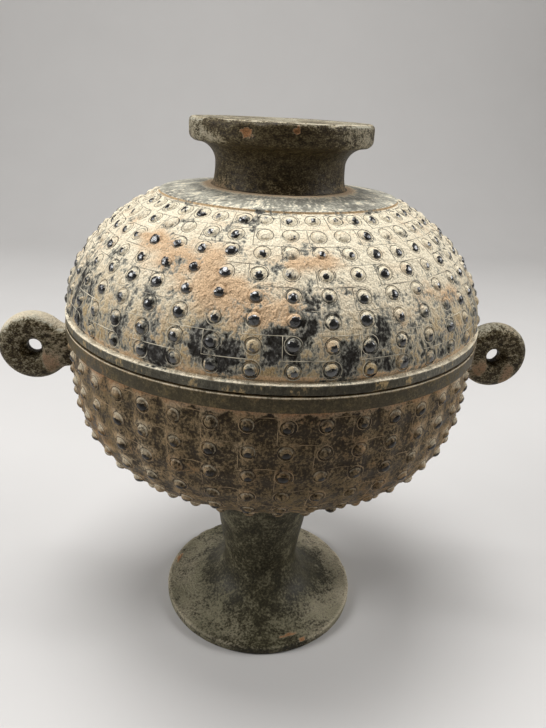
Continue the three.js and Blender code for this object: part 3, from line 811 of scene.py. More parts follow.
def bare_stone(colours):
    """Stone ground smooth and dulled by burial: a soft sheen over olive mottling, earth in its hollows."""
    name = "ground olive stone with earth stains"
    return bpy.data.materials.get(name) or buried_stone(
        name,
        stone=(colours.olive_dark, colours.olive_light, colours.olive_middle),
        film=(colours.moss, colours.moss),
        earth=(colours.tan, colours.sand, colours.film),
        warm=colours.rust, polished=colours.olive_dark,
        film_cover=0.72, dullness=0.5, sheen=0.13, gloss=0.13,
        coarseness=0.5, stretch=1.4, softness=0.35)


def foot_stone(colours):
    """Stone ground smooth and dulled by burial, grey-green, with soft wide mottling and little earth."""
    return buried_stone(
        "ground grey-green stone with earth stains",
        stone=(colours.foot_dark, colours.foot_light, colours.foot_middle),
        film=(colours.foot_film, colours.foot_film),
        earth=(colours.tan, colours.foot_film, colours.foot_dust_and_light),
        warm=colours.rust, polished=colours.foot_dark,
        film_cover=0.6, dullness=0.5, sheen=0.15, gloss=0.15,
        coarseness=1.2, stretch=0.9, softness=0.7)


def bowl_stone(colours):
    """Stone browned by long burial: dull brown, with paler earth in the hollows and rubbed dark tips."""
    return buried_stone(
        "carved brown stone with earth stains",
        stone=(colours.brown_dark, colours.brown_light, colours.brown_middle),
        film=(colours.umber, colours.band),
        earth=(colours.tan, colours.clay, colours.sand),
        warm=colours.rust, polished=colours.brown_tip,
        film_cover=0.45, dullness=0.45, sheen=0.12, gloss=0.2,
        coarseness=0.8, stretch=0.9, softness=0.4)


def lid_stone(colours):
    """Dark stone under a dried coat: chalky cream and peach earth, slate showing through, glossy tips."""
    return buried_stone(
        "carved slate-grey stone under dried earth",
        stone=(colours.stone_dark, colours.stone_light, colours.stone_middle),
        film=(colours.film, colours.band),
        earth=(colours.cream, colours.loam_and_shade, colours.tan),
        warm=colours.peach, polished=colours.polished,
        film_cover=0.6, dullness=0.5, sheen=0.15, gloss=0.9,
        coarseness=1.3, stretch=0.65, softness=0.12)


def band_base(sizes):
    """Height of the lower edge of the bowl's smooth band, worked down from the lip."""
    return BOWL_HIGH.z - sizes.lip_height - sizes.band_height


def bowl_ground(sizes):
    """The bowl's ground from near the stem up to the band, along its superellipse."""
    ground = sizes.band_radius - sizes.ground_depth
    curve = superellipse(ground, -sizes.depth, sizes.fullness, np.linspace(0, QUARTER, 4000))[::-1]
    curve[:, 1] += band_base(sizes)
    return curve[curve[:, 0] > 0.4 * ground]


def everywhere(angle, height):
    """Keeps every boss."""
    return np.ones_like(angle)


def beside_handles(angle, height):
    """1 away from the handles' necks and 0 beside them, where no boss is cut."""
    middle = (RING_LOW.z + RING_HIGH.z) / 2
    aside = abs(np.mod(angle, np.pi) - QUARTER)
    return np.where((aside < NECK_TURN) & (abs(height - middle) < NECK_ROOM), 0.0, 1.0)


def hooked_lines(course, start, pitch, row_count, carving):
    """Angles and distances along the course of the hooked lines, one row of points for each line. A
    line comes down beside one boss, runs over it to the next boss and hooks round that boss."""
    row, column = np.meshgrid(np.arange(row_count), np.arange(carving.columns), indexing="ij")
    leads = (row + column) % 2 == 0
    middle = (start + (row[leads] + 0.5) * pitch)[:, None]
    angle = (column[leads] * TURN / carving.columns)[:, None]
    next_angle = angle + TURN / carving.columns
    reach = carving.line_offset
    room = np.minimum(pitch, start + row_count * pitch - middle - reach)
    down = np.linspace(1, 0, 4, endpoint=False)
    over = np.linspace(0, 1, 5, endpoint=False)
    hook = np.linspace(0, HOOK_TURN, 8)
    fall = middle + reach + down * room
    fall_angle = angle - reach / course.at(fall)[0]
    level = np.broadcast_to(middle + reach, (len(middle), len(over)))
    level_angle = (angle - reach / course.at(level)[0]) * (1 - over) + next_angle * over
    curl = middle + reach * np.cos(hook)
    curl_angle = next_angle + reach * np.sin(hook) / course.at(curl)[0]
    return (np.concatenate([fall_angle, level_angle, curl_angle], axis=1),
            np.concatenate([fall, level, curl], axis=1))


def boss_halos(course, start, pitch, row_count, carving, keep):
    """Angles and distances along the course of the fine circles cut round the bosses, and how much earth
    each point of a circle holds: least where the groove's crescent holds most."""
    across, upward, growth, swirl = boss_places(carving, row_count)
    turn = np.arange(HALO_POINTS) * TURN / HALO_POINTS
    middle = np.broadcast_to(start + (np.arange(row_count)[:, None] + 0.5) * pitch, across.shape)
    radius, height = course.at(middle)[:2]
    angle = np.broadcast_to(np.arange(carving.columns) * TURN / carving.columns, across.shape)
    reach = (carving.halo_radius * crowding(radius, carving.columns) * growth)[..., None]
    around_angle = angle[..., None] + (across[..., None] + reach * np.cos(turn)) / radius[..., None]
    distance = (middle + upward)[..., None] + reach * np.sin(turn)
    holds = 1 - ease(np.cos(turn - swirl[..., None]), -0.7, 0.3)
    cut = keep(angle, height) > 0.5
    return around_angle[cut], distance[cut], holds[cut]


def earth_bead(course, path, closed, width, rise, sink):
    """Points and faces of a low three-sided bead carried along each path on the course. Its edges lie
    under the surface and its middle stands proud by rise less the sink at that point."""
    angle, distance = path[:2]
    radius, height, out, up = course.at(distance)
    base = around(angle, radius, height)
    normal = around(angle, out, up)
    forward = np.roll(base, -1, axis=1) - np.roll(base, 1, axis=1) if closed else np.gradient(base, axis=1)
    side = np.cross(normal, forward)
    side /= np.linalg.norm(side, axis=2, keepdims=True)
    lift = np.array([-LINE_DEPTH, rise, -LINE_DEPTH]) - sink(base, angle, distance)[..., None]
    aside = np.array([0.5, 0, -0.5]) * width
    points = base[:, :, None] + side[:, :, None] * aside[:, None] + normal[:, :, None] * lift[..., None]
    lines, steps, corners = points.shape[:3]
    spans = steps if closed else steps - 1
    line, step, corner = np.meshgrid(np.arange(lines), np.arange(spans), np.arange(corners), indexing="ij")
    here = (line * steps + step) * corners
    there = (line * steps + (step + 1) % steps) * corners
    following = (corner + 1) % corners
    sides = np.stack([here + corner, here + following, there + following, there + corner], axis=-1)
    starts = np.arange(lines)[:, None] * steps * corners + np.arange(corners)
    caps = [starts[:, ::-1], starts + (steps - 1) * corners]
    faces = [sides.reshape(-1, 4)] + ([] if closed else caps)
    return points, faces


def incised_lines(name, course, start, pitch, row_count, carving, keep, sink, pale, material):
    """The hooked lines and the circles round the bosses, filled with earth. pale gives how much of the
    pale earth is left at a point of the course."""
    lines = hooked_lines(course, start, pitch, row_count, carving)
    halos = boss_halos(course, start, pitch, row_count, carving, keep)
    width, rise = carving.line_width, carving.line_lift
    line_points, line_faces = earth_bead(course, lines, False, width, rise, sink)
    halo_points, halo_faces = earth_bead(course, halos, True, width, rise, sink)
    points = np.concatenate([line_points.reshape(-1, 3), halo_points.reshape(-1, 3)])
    faces = line_faces + [part + line_points.size // 3 for part in halo_faces]
    middle = np.array([0.0, 1.0, 0.0])
    line_fill = pale(lines[1])[..., None] * middle
    halo_fill = (pale(halos[1]) * halos[2])[..., None] * middle
    fill = np.concatenate([line_fill.ravel(), halo_fill.ravel()])
    return new_piece(name, points, faces, {"fill": fill}, material)


def between_columns(angle, columns):
    """0 along a column of bosses and 1 halfway to the next one, as half of 1 less a cosine."""
    return 0.5 - 0.5 * np.cos(angle * columns)


def chipped(points, cell, seed):
    """0 on sound stone and up to 1 in small chips, where a noise of this cell size is high."""
    return ease(mottle(points, cell, seed), 0.3, 0.8)


def near(values, middle, reach):
    """1 within half of the reach from the middle value, easing to 0 at the reach on either side."""
    return 1 - ease(abs(values - middle), reach * 0.5, reach)


def patches(angle, along, places, arm=None):
    """Sum of round patches that fade with their squared distance. A place is a turn from the front in
    degrees, a distance along the outline and half sizes round and along. The arm turns an angle into a
    distance, and is the place's own distance along if none is given."""
    total = np.zeros_like(along)
    for turn, middle, wide, tall in places:
        turned = np.mod(angle - math.radians(turn) + np.pi, TURN) - np.pi
        aside = turned * (middle if arm is None else arm) / wide
        total = total + np.exp(-aside ** 2 - ((along - middle) / tall) ** 2)
    return total


class STEMBOWL_OT_foot(bpy.types.Operator):
    """Turns the stem and trumpet foot"""
    bl_idname = "stem_bowl.foot"
    bl_label = "Stem and foot"

    def profile(self, sizes, shoulder, top):
        """Outline from the hollow's middle over the ring, the cove and the stem to the middle of the stem's
        top. Hollow and cove are quarters of ellipses, and the stem widens as a power of its height."""
        inner = sizes.radius - sizes.ring_width
        bend = np.linspace(0, QUARTER, 50)
        coarse = bend[::5]
        hollow = np.stack([
            inner - (inner - sizes.hollow_top) * np.cos(coarse),
            sizes.hollow_height * (1 - np.sin(coarse))], axis=1)
        cove = np.stack([
            shoulder - (shoulder - sizes.waist_radius) * np.sin(bend),
            sizes.waist_height - (sizes.waist_height - sizes.edge_height) * np.cos(bend)], axis=1)
        climb = np.linspace(0, 1, 40)
        stem = np.stack([
            sizes.waist_radius + (sizes.top_radius - sizes.waist_radius) * climb ** sizes.flare,
            sizes.waist_height + (top - sizes.waist_height) * climb], axis=1)
        edge = outline([
            (*hollow[-1], 0),
            (inner, 0, sizes.ring_round),
            (sizes.radius, 0, sizes.ring_round),
            (sizes.radius, sizes.edge_height - FOOT_HOLD, 0),
            (sizes.radius, sizes.edge_height, sizes.edge_round),
            (*cove[1], 0)], FOOT_STEP)
        under_bowl = outline([(*stem[-1], 0), (0, top, 0)], STEM_TOP_STEP)
        return np.concatenate([[(0, sizes.hollow_height)], hollow, edge[1:], cove[2:], stem[1:],
                               under_bowl[1:]])

    def execute(self, context):
        sizes = context.scene.stem_bowl_foot
        top = BOWL_LOW.z
        shoulder = sizes.radius - sizes.shoulder
        rows = turned_rows(self.profile(sizes, shoulder, top), PLAIN_COLUMNS)
        base = plain_points(rows)
        worn = near(rows["height"], sizes.edge_height, 1 * MM) * (rows["radius"] > shoulder - 0.5 * MM)
        rows["lift"] = -sizes.set_back - sizes.chip_depth * chipped(base, 5 * MM, 14) * worn
        points = lifted(rows, 11)
        slow = mottle(points, 16 * MM, 12)
        quick = mottle(points, 5 * MM, 13)
        joint = ease(points[..., 2], top - 7 * MM, top - 2 * MM)
        scrapes = patches(rows["angle"], rows["radius"], FOOT_SCRAPES) * (rows["up"] > 0.3)
        scraped = ease(scrapes + 0.25 * mottle(base, 2 * MM, 15) * (scrapes > 0.1), 0.35, 0.6)
        # Dust lies on the spread of the foot. Its sides and right are paler as dust and painted light where
        # the side lamps catch them, and the cove on the right is darkened as a painted shadow of the bowl.
        spread = ease(rows["radius"], 26 * MM, 44 * MM)
        turned = np.sin(rows["angle"])
        sides = abs(turned) * spread
        right = ease(turned, 0.3, 0.8) * spread
        painted_bowl_shadow = ease(turned, 0.75, 0.97) * (1 - ease(rows["radius"], 42 * MM, 54 * MM))
        features = {"slow": slow, "quick": quick, "joint": joint, "worn": worn, "sides": sides,
                    "right": right, "painted_bowl_shadow": painted_bowl_shadow, "scraped": scraped}
        marks = stone_marks(weighted(FOOT_EARTH, features), weighted(FOOT_TONE, features), scraped)
        piece = turned_piece("foot_turned", points, marks, foot_stone(context.scene.stem_bowl_colours))
        settled(piece, "vessel", "bare_stone", "pedestal_foot")
        return {"FINISHED"}


class STEMBOWL_OT_bowl(bpy.types.Operator):
    """Carves the bossed bowl and fills its incised lines with earth"""
    bl_idname = "stem_bowl.bowl"
    bl_label = "Bowl"

    def profiles(self, sizes, lower, ground, band, rim):
        """Outlines of the plain parts: from the seat on the stem out to the bosses, and from the smooth
        band over the lip and down the inside, which is a superellipse."""
        seat = BOWL_LOW.z
        under = outline([(0, seat, 0), (lower.points[0, 0], seat, 0)], SEAT_STEP)
        below = np.stack(lower.at(np.linspace(0, lower.length, 6))[:2], axis=1)
        edge = outline([
            (ground, band, 0),
            (sizes.band_radius, band + sizes.band_rise, sizes.band_round),
            (sizes.band_radius, rim - BOWL_HOLD, 0),
            (sizes.band_radius, rim, sizes.edge),
            (sizes.lip_radius, rim, sizes.lip_foot),
            (sizes.lip_radius, rim + sizes.lip_height, sizes.lip_round),
            (sizes.inside_radius, rim + sizes.lip_height, sizes.lip_round),
            (sizes.inside_radius, rim - 3 * MM, 0)], BOWL_STEP)
        inside = superellipse(sizes.inside_radius, -sizes.inside_depth, sizes.fullness,
                              np.linspace(0, QUARTER, 14))
        inside[:, 1] += rim
        return (np.concatenate([under, below[1:]]),
                np.concatenate([edge, inside[2:-1], [(0, rim - sizes.inside_depth)]]))

    def execute(self, context):
        sizes = context.scene.stem_bowl_bowl
        carving = context.scene.stem_bowl_carving
        colours = context.scene.stem_bowl_colours
        columns = carving.columns * CELL_FACES
        band = band_base(sizes)
        rim = band + sizes.band_height
        ground = sizes.band_radius - sizes.ground_depth
        curve = bowl_ground(sizes)
        upper = Course(curve[curve[:, 0] >= sizes.pattern_end])
        lower = Course(curve[curve[:, 0] < sizes.pattern_end])
        margin = sizes.pattern_margin
        pitch = (upper.length - 2 * margin) / sizes.rows
        below, above = self.profiles(sizes, lower, ground, band, rim)
        rows = joined(
            turned_rows(below, columns),
            bossed_rows(upper, margin, pitch, sizes.rows, sizes.boss_height, carving, beside_handles),
            turned_rows(above, columns))

        def sunk(angle, along):
            """How far the ground sinks between the columns and, as half of 1 and a cosine, the rows."""
            between_rows = 0.5 + 0.5 * np.cos(TURN * (along - margin) / pitch)
            return sizes.channel * between_columns(angle, carving.columns) + sizes.dip * between_rows

        base = plain_points(rows)
        outside = rows["out"] > -0.2
        bossed = rows["along"] > 0
        worn = near(rows["height"], rim - 0.45 * MM, 0.4 * MM)
        worn = worn * (rows["radius"] > sizes.band_radius - 0.4 * MM)
        rows["lift"] = (rows["lift"] - sizes.chip_depth * chipped(base, 4 * MM, 24) * worn
                        - sunk(rows["angle"], rows["along"]) * bossed)
        points = lifted(rows, 21)
        slow = mottle(points, 19 * MM, 22)
        streak = mottle(points * (1, 1, 0.6), 8 * MM, 23)
        # Bare dark stone on the rim's hidden top, as painted shade in the seam under the lid.
        seam_shade = ease(rows["height"], rim - 0.2 * MM, rim - 0.1 * MM)
        corner = near(rows["height"], band - 0.4 * MM, 1.4 * MM)
        corner = corner * (rows["radius"] < sizes.band_radius) * outside
        plain = (rows["radius"] > sizes.band_radius - 0.3 * MM) * outside
        # Dust over the bosses on the slopes that face up, most on both sides of the bowl, paler there as
        # dust and painted light from the ceiling and side lamps. Less earth between the columns darkens
        # them as painted shade.
        channel = between_columns(rows["angle"], carving.columns) * bossed
        place_in_row = np.mod((rows["along"] - margin) / pitch, 1) * bossed
        turned = abs(np.sin(rows["angle"]))
        aside = ease(turned, 0.3, 0.85) * (1 - 0.6 * ease(turned, 0.88, 1))
        slope = ease(place_in_row, 0.5, 0.62) * (1 - ease(place_in_row, 0.75, 0.95)) * (1 - channel)
        dust_and_light = np.maximum(slope, rows["lit_brow"]) * (0.25 + 0.75 * aside)
        dressed = plain * (1 - worn)
        features = {"slow": slow, "streak": streak, "groove": rows["groove"], "dust_and_light": dust_and_light, "aside": aside,
                    "channel": channel, "crescent": rows["crescent"], "plain": plain, "worn": worn,
                    "corner": corner, "seam_shade": seam_shade, "dressed": dressed}
        warm = (0.4 * ease(mottle(points, 13 * MM, 27), 0.1, 0.5) + 0.6 * corner) * (1 - dust_and_light) * (1 - worn)
        tips = rows["cap"] * ease(mottle(points, 11 * MM, 26), -1.0, 0.0)
        marks = stone_marks(weighted(BOWL_EARTH, features), weighted(BOWL_TONE, features), warm,
                            rubbed=0.85 * tips, dressed=dressed)
        piece = turned_piece("bowl_carved", points, marks, bowl_stone(colours))
        settled(piece, "vessel", "bowl_stone", "bowl")
        # Packed earth: dull and pale, with the dark edge of the cut beside it as painted shade.
        filling = earth_in_lines("dull earth pressed into cut lines", colours.sand, colours.brown_tip)
        lines = incised_lines(
            "bowl_incised_lines", upper, margin, pitch, sizes.rows, carving, beside_handles,
            lambda place, angle, along: LINE_SINK - hand_worked(place, 21) + sunk(angle, along),
            lambda along: 1.1 * np.ones_like(along), filling)
        settled(lines, "vessel", "bowl_stone")
        return {"FINISHED"}


class STEMBOWL_OT_ring_handles(bpy.types.Operator):
    """Shapes the two ring handles with their necks"""
    bl_idname = "stem_bowl.ring_handles"
    bl_label = "Ring handles"

    def section(self, sizes):
        """Closed section of the ring: an edge rounded as a superellipse, flat faces and a hole drilled as a
        cone from each face."""
        half = sizes.thickness / 2
        sweep = np.linspace(-QUARTER, QUARTER, 19)
        power = 2 / sizes.squareness
        edge = np.stack([
            sizes.radius - sizes.edge * (1 - np.cos(sweep) ** power),
            half * np.sign(np.sin(sweep)) * abs(np.sin(sweep)) ** power], axis=1)
        worn = 0.3 * sizes.bevel
        waist = sizes.thickness / 6
        cone = np.array([
            (sizes.mouth + sizes.bevel, half), (sizes.mouth, half - worn), (sizes.hole, waist),
            (sizes.hole, -waist), (sizes.mouth, worn - half), (sizes.mouth + sizes.bevel, -half)])
        return refined(np.concatenate([edge, cone, edge[:1]]), RING_STEP)[:-1]

    def execute(self, context):
        sizes = context.scene.stem_bowl_ring
        bowl = context.scene.stem_bowl_bowl
        colours = context.scene.stem_bowl_colours
        middle_x = RING_HIGH.x - sizes.radius
        middle_z = (RING_LOW.z + RING_HIGH.z) / 2
        reach = middle_x - (bowl.band_radius - bowl.ground_depth) + sizes.bite
        section = self.section(sizes)
        turns = np.arange(RING_COLUMNS) * TURN / RING_COLUMNS
        turn, reached = np.meshgrid(turns, section[:, 0], indexing="ij")
        # The outline is the smooth greater of the ring's circle and a block that reaches the bowl.
        tiny = 1e-6
        blend = 14
        inward = np.maximum(-np.cos(turn), tiny)
        block = np.minimum(reach / inward, sizes.neck_height / 2 / np.maximum(abs(np.sin(turn)), tiny))
        necked = (sizes.radius ** blend + block ** blend) ** (1 / blend)
        outer = np.where(np.cos(turn) < 0, necked, sizes.radius)
        share = np.clip((reached - sizes.mouth) / (sizes.radius - sizes.mouth), 0, 1)
        distance = reached + share * (outer - sizes.radius)
        across = np.broadcast_to(section[:, 1], turn.shape)
        flat = np.stack([distance * np.cos(turn), across, distance * np.sin(turn)], axis=-1)
        dusty = ease(share, 0.7, 1) * ease(np.sin(turn), 0.2, 0.8)
        stained = (1 - dusty) * ease(-np.sin(turn), -0.3, 0.6)
        for side, name, node, seed in ((1, "right_ring", "right_ring_handle", 31),
                                       (-1, "left_ring", "left_ring_handle", 41)):
            points = np.array([side, 1, 1]) * (flat + np.array([middle_x, 0, middle_z]))
            slow = mottle(points, 9 * MM, seed)
            swell = 1 - 0.012 * (1 + slow[..., None]) * np.array([0, 1, 0])
            patch = ease(mottle(points, 8 * MM, seed + 2), 0, 0.4) * stained
            earth = 0.15 - 0.05 * side + 0.15 * slow + (0.75 - 0.25 * side) * dusty + 0.6 * patch
            tone = 0.5 + 0.25 * slow - (0.25 - 0.25 * side) * dusty
            faces = grid_faces(*points.shape[:2], True)
            faces = faces if side < 0 else faces[:, ::-1]
            piece = new_piece(name, (points * swell).reshape(-1, 3), [faces],
                              stone_marks(earth, tone, 0.7 * patch), bare_stone(colours))
            settled(piece, "vessel", "bare_stone", node)
        return {"FINISHED"}


class STEMBOWL_OT_lid(bpy.types.Operator):
    """Carves the bossed lid and fills its incised lines with earth"""
    bl_idname = "stem_bowl.lid"
    bl_label = "Lid"

    def profiles(self, sizes, dome, under, band):
        """Outlines of the plain parts: from the inside's middle over the rebate, the smooth band and its
        ledge into the nook behind it, and from the dome's top over the collar to the knob's seat."""
        seat = LID_HIGH.z
        inside = superellipse(sizes.inside_radius, sizes.inside_rise, 2, np.linspace(QUARTER, 0, 8))
        inside[:, 1] += under + sizes.rebate_height
        start = np.array(dome.at(sizes.pattern_margin))
        foot_of_dome = start[:2] - sizes.nook * start[2:]
        edge = outline([
            (*inside[-2], 0),
            (*inside[-1], sizes.inside_round),
            (sizes.rebate_radius, under + sizes.rebate_height, sizes.rebate_round),
            (sizes.rebate_radius, under, sizes.mouth_round),
            (sizes.band_radius, under, sizes.rim_round),
            (sizes.band_radius, band - LID_HOLD, 0),
            (sizes.band_radius, band, sizes.ledge_round),
            (sizes.band_radius - sizes.ledge, band + sizes.ledge_rise, sizes.ledge_foot),
            (*foot_of_dome, 0)], LID_STEP)[:-1]
        crown = outline([
            (*dome.points[-1], 0),
            (sizes.collar_radius, dome.points[-1, 1] + sizes.collar_step, sizes.collar_round),
            (sizes.seat_radius, seat, 0)], LID_STEP)
        return (np.concatenate([inside[:-2], edge]),
                np.concatenate([crown, [(sizes.seat_radius / 2, seat), (0, seat)]]))

    def heaps(self, angle, along, radius):
        """Amount of crusted earth: round mounds made ragged by noise. Until the crust starts, it only
        tints the lid."""
        place = around(angle, radius, along)
        ragged = 0.4 * mottle(place, 7 * MM, 71) + 0.25 * mottle(place, 2.5 * MM, 72)
        return (patches(angle, along, CRUST_MOUNDS, radius) + ragged) * (along > 0)

    def execute(self, context):
        sizes = context.scene.stem_bowl_lid
        bowl = context.scene.stem_bowl_bowl
        carving = context.scene.stem_bowl_carving
        colours = context.scene.stem_bowl_colours
        columns = carving.columns * CELL_FACES
        under = LID_LOW.z
        band = under + sizes.band_height
        ground = bowl.band_radius - bowl.ground_depth
        curve = superellipse(ground, sizes.rise, 2, np.linspace(0, QUARTER, 2000))
        curve[:, 1] += band
        dome = Course(curve[curve[:, 0] >= sizes.collar_radius])
        top = dome.points[-1, 1]
        margin = sizes.pattern_margin
        pitch = (dome.length - 2 * margin) / sizes.rows
        below, above = self.profiles(sizes, dome, under, band)
        rows = joined(
            turned_rows(below, columns),
            bossed_rows(dome, margin, pitch, sizes.rows, sizes.boss_height, carving, everywhere),
            turned_rows(above, columns))
        base = plain_points(rows)
        outer = rows["radius"] > ground - 3 * MM
        ledge = near(rows["height"], band + 0.15 * MM, 0.5 * MM) * outer * (rows["out"] > -0.1)
        nook = near(rows["height"], band + 1.8 * MM, 1.8 * MM) * outer * (rows["up"] < 0.6)
        collar = ease(sizes.collar_radius + 0.1 * MM - rows["radius"], 0, 0.2 * MM) * (rows["up"] > 0.3)
        earth_heaps = self.heaps(rows["angle"], rows["along"], rows["radius"])
        crust = ease(earth_heaps, CRUST_START, CRUST_WHOLE)
        tinted = ease(earth_heaps, 0.0, CRUST_WHOLE)
        cut_in = (1 - ease(rows["along"], margin, margin + 2.4 * MM)) * (rows["along"] > 0)
        lumps = sizes.crust + sizes.lumps * mottle(base * (1, 1, 1.6), 2.6 * MM, 56)
        rows["lift"] = (rows["lift"] - sizes.chip_depth * chipped(base, 4 * MM, 55) * ledge
                        - sizes.nook * cut_in + crust * lumps)
        points = lifted(rows, 51)
        slow = mottle(points, 30 * MM, 52)
        streak = mottle(points * (1, 1, 0.6), 6.5 * MM, 53)
        fine = mottle(points, 3 * MM, 54)
        # Height up the lid: earth is thicker and paler on top, and its darker tone towards the lid's foot
        # is partly painted shade.
        up = ease(points[..., 2], band, LID_HIGH.z)
        plain = (rows["radius"] > sizes.band_radius - 0.2 * MM) * 1.0
        # Bare slate shows in upright streaks between the columns, mostly low on the lid.
        channel = between_columns(rows["angle"], carving.columns)
        front = ease(np.cos(rows["angle"] + 0.2), 0.85, 0.99)
        turned = np.sin(rows["angle"])
        aside = (0.3 * ease(-turned, 0.1, 0.5) * (1.1 - 0.9 * up)
                 - 0.22 * ease(turned, 0.15, 0.5) * (1 - up))
        slate = (ease(streak + 0.4 * fine, 0, 0.4) * (0.4 + 0.6 * channel) * (1 - 0.45 * up) * (1 - collar)
                 * (0.62 + 0.5 * front + aside) * (1 - plain))
        # Fine scratches run aslant over the collar.
        aslant = np.stack([base[..., 0] + base[..., 1], 3 * (base[..., 0] - base[..., 1]), base[..., 2]],
                          axis=-1)
        scratch = mottle(aslant, 1.8 * MM, 58)
        knob_base = ease(38 * MM - rows["radius"], 0, 4 * MM) * collar
        # The step up to the collar holds a brown line, partly earth and partly painted shade, over a crease
        # darkened as painted shade.
        step = near(rows["radius"], sizes.collar_radius, 0.6 * MM)
        step = step * (rows["height"] > top - 0.2 * MM) * (1 - collar)
        collar_crease_shade = ease(rows["along"], dome.length - 1.2 * MM, dome.length - 0.3 * MM)
        # The bosses' upper flanks are painted pale as light from above, most high on the lid.
        lit_brow = rows["lit_brow"] * (0.2 + 0.8 * up)
        features = {"up": up, "slow": slow, "slate": slate, "lit_brow": lit_brow, "groove": rows["groove"],
                    "crescent": rows["crescent"], "crust": crust, "ledge": ledge, "nook": nook,
                    "plain": plain, "collar": collar, "scratch": collar * scratch,
                    "knob_base": knob_base, "collar_crease_shade": collar_crease_shade}
        tone = weighted(LID_TONE, features)
        tone = tone + (0.5 - tone) * np.maximum(crust, nook) + step
        pale = np.maximum.reduce([ledge, collar, rows["crescent"] * (0.5 + 0.5 * up), 0.5 * lit_brow])
        tone = tone * (1 - pale)
        # The earth is peach-coloured in the crust, in the nook over the band and round the knob.
        warm = np.maximum.reduce([0.85 * tinted, 0.9 * nook, 0.7 * knob_base, 0.5 * step])
        # Fewer tips are rubbed bare high on the lid, and smaller ones at its foot.
        bared = ease(mottle(points, 11 * MM, 57), -1.3, 0.5 * up - 0.45)
        low = 1 - ease(rows["along"], 8 * MM, 24 * MM)
        kept = np.maximum(0.8 * up, 0.6 * low) + 0.25 * fine
        tips = ease(rows["cap"], kept, 0.25 + kept) * bared
        marks = stone_marks(weighted(LID_EARTH, features), tone, warm, rubbed=(0.85 - 0.15 * low) * tips,
                            dressed=np.maximum(plain * (1 - ledge), collar * (0.8 - 0.4 * streak)))
        piece = turned_piece("lid_carved", points, marks, lid_stone(colours))
        settled(piece, "lid", "lid_stone", "lid_dome")

        def sunk(place, angle, along):
            """How far a line lies in the ground. The crust of earth buries it."""
            crusted = ease(self.heaps(angle, along, dome.at(along)[0]), CRUST_START, CRUST_WHOLE)
            return LINE_SINK - hand_worked(place, 51) + sizes.burying * crusted

        # Packed earth: chalky and pale low on the lid; higher up less of it shows, and the dark cuts are
        # painted shade.
        filling = earth_in_lines("pale earth pressed into cut lines", colours.cream, colours.stone_dark)
        lines = incised_lines(
            "lid_incised_lines", dome, margin, pitch, sizes.rows, carving, everywhere, sunk,
            lambda along: 0.85 - 0.5 * ease(along, 16 * MM, 40 * MM), filling)
        settled(lines, "lid", "lid_stone")
        return {"FINISHED"}


class STEMBOWL_OT_knob(bpy.types.Operator):
    """Turns the spool-shaped knob"""
    bl_idname = "stem_bowl.knob"
    bl_label = "Knob"

    def profile(self, sizes, low, rim_low, top):
        """Outline from the middle of the base up the neck, which is made of two quarters of ellipses, over
        the rim to the middle of the flat top."""
        waist = low + sizes.neck_height
        falling = np.linspace(-QUARTER, 0, 10)
        rising = np.linspace(0, QUARTER, 14)
        spread = sizes.base_radius - sizes.neck_radius
        flare = sizes.rim_radius - sizes.overhang - sizes.neck_radius
        lower = np.stack([
            sizes.neck_radius + spread * (1 - np.cos(falling)),
            waist + (waist - low) * np.sin(falling)], axis=1)
        upper = np.stack([
            sizes.neck_radius + flare * (1 - np.cos(rising)),
            waist + (rim_low - waist) * np.sin(rising)], axis=1)
        rim = outline([
            (*upper[-2], 0),
            (*upper[-1], sizes.flare_round),
            (sizes.rim_radius, rim_low + sizes.overhang_rise, sizes.under_round),
            (sizes.rim_radius, top, sizes.edge),
            (sizes.rim_radius - KNOB_HOLD, top, 0)], KNOB_STEP)
        crown = outline([(*rim[-1], 0), (0, top, 0)], KNOB_TOP_STEP)
        under = outline([(0, low, 0), (sizes.base_radius, low, 0)], KNOB_BASE_STEP)
        return np.concatenate([under, lower[1:], upper[1:-2], rim, crown[1:]])

    def execute(self, context):
        sizes = context.scene.stem_bowl_knob
        low = LID_HIGH.z
        top = KNOB_HIGH.z
        rim_low = top - sizes.rim_height
        rows = turned_rows(self.profile(sizes, low, rim_low, top), KNOB_COLUMNS)
        base = plain_points(rows)
        worn = near(rows["height"], top, 2.2 * MM) * (rows["radius"] > sizes.rim_radius - 3 * MM)
        nicks = np.zeros_like(worn)
        for turn, height, reach in KNOB_NICKS:
            place = around(np.radians(turn), sizes.rim_radius, top - height)
            nicks = nicks + np.exp(-((base - place) ** 2).sum(axis=-1) / reach ** 2)
        ragged = 0.4 * mottle(base, 1.6 * MM, 65) + 0.3 * mottle(base, 0.8 * MM, 66)
        nicks = nicks + ragged * (nicks > 0.1)
        rows["lift"] = (-sizes.set_back - sizes.chip_depth * chipped(base, 6 * MM, 64) * worn
                        - sizes.nick_depth * nicks)
        points = lifted(rows, 61)
        slow = mottle(points, 13 * MM, 62)
        quick = mottle(points * (1, 1, 2.2), 6 * MM, 63)
        foot = ease(low + 10 * MM - points[..., 2], 0, 10 * MM)
        flat_top_highlight = ease(rows["up"], 0.7, 0.95) * (points[..., 2] > top - 2 * MM)
        nicked = ease(nicks, 0.35, 0.6)
        # Earth clings to the neck's foot, most at its two ends. The rim's two ends are paler as dust and
        # painted light where the side lamps catch them, and the flat top as a painted highlight.
        ends = ease(abs(np.sin(rows["angle"])) + 0.25 * slow, 0.45, 0.9)
        rim_end_dust_and_light = ends * ease(points[..., 2], rim_low - 2 * MM, rim_low + 2 * MM) * (1 - flat_top_highlight)
        features = {"slow": slow, "quick": quick, "foot": foot, "foot_ends": foot * ends, "worn": worn,
                    "flat_top_highlight": flat_top_highlight, "rim_end_dust_and_light": rim_end_dust_and_light, "nicked": nicked}
        marks = stone_marks(weighted(KNOB_EARTH, features), weighted(KNOB_TONE, features),
                            np.maximum(nicked, 0.6 * foot))
        piece = turned_piece("knob_turned", points, marks, bare_stone(context.scene.stem_bowl_colours))
        settled(piece, "lid", "bare_stone", "lid_knob")
        return {"FINISHED"}


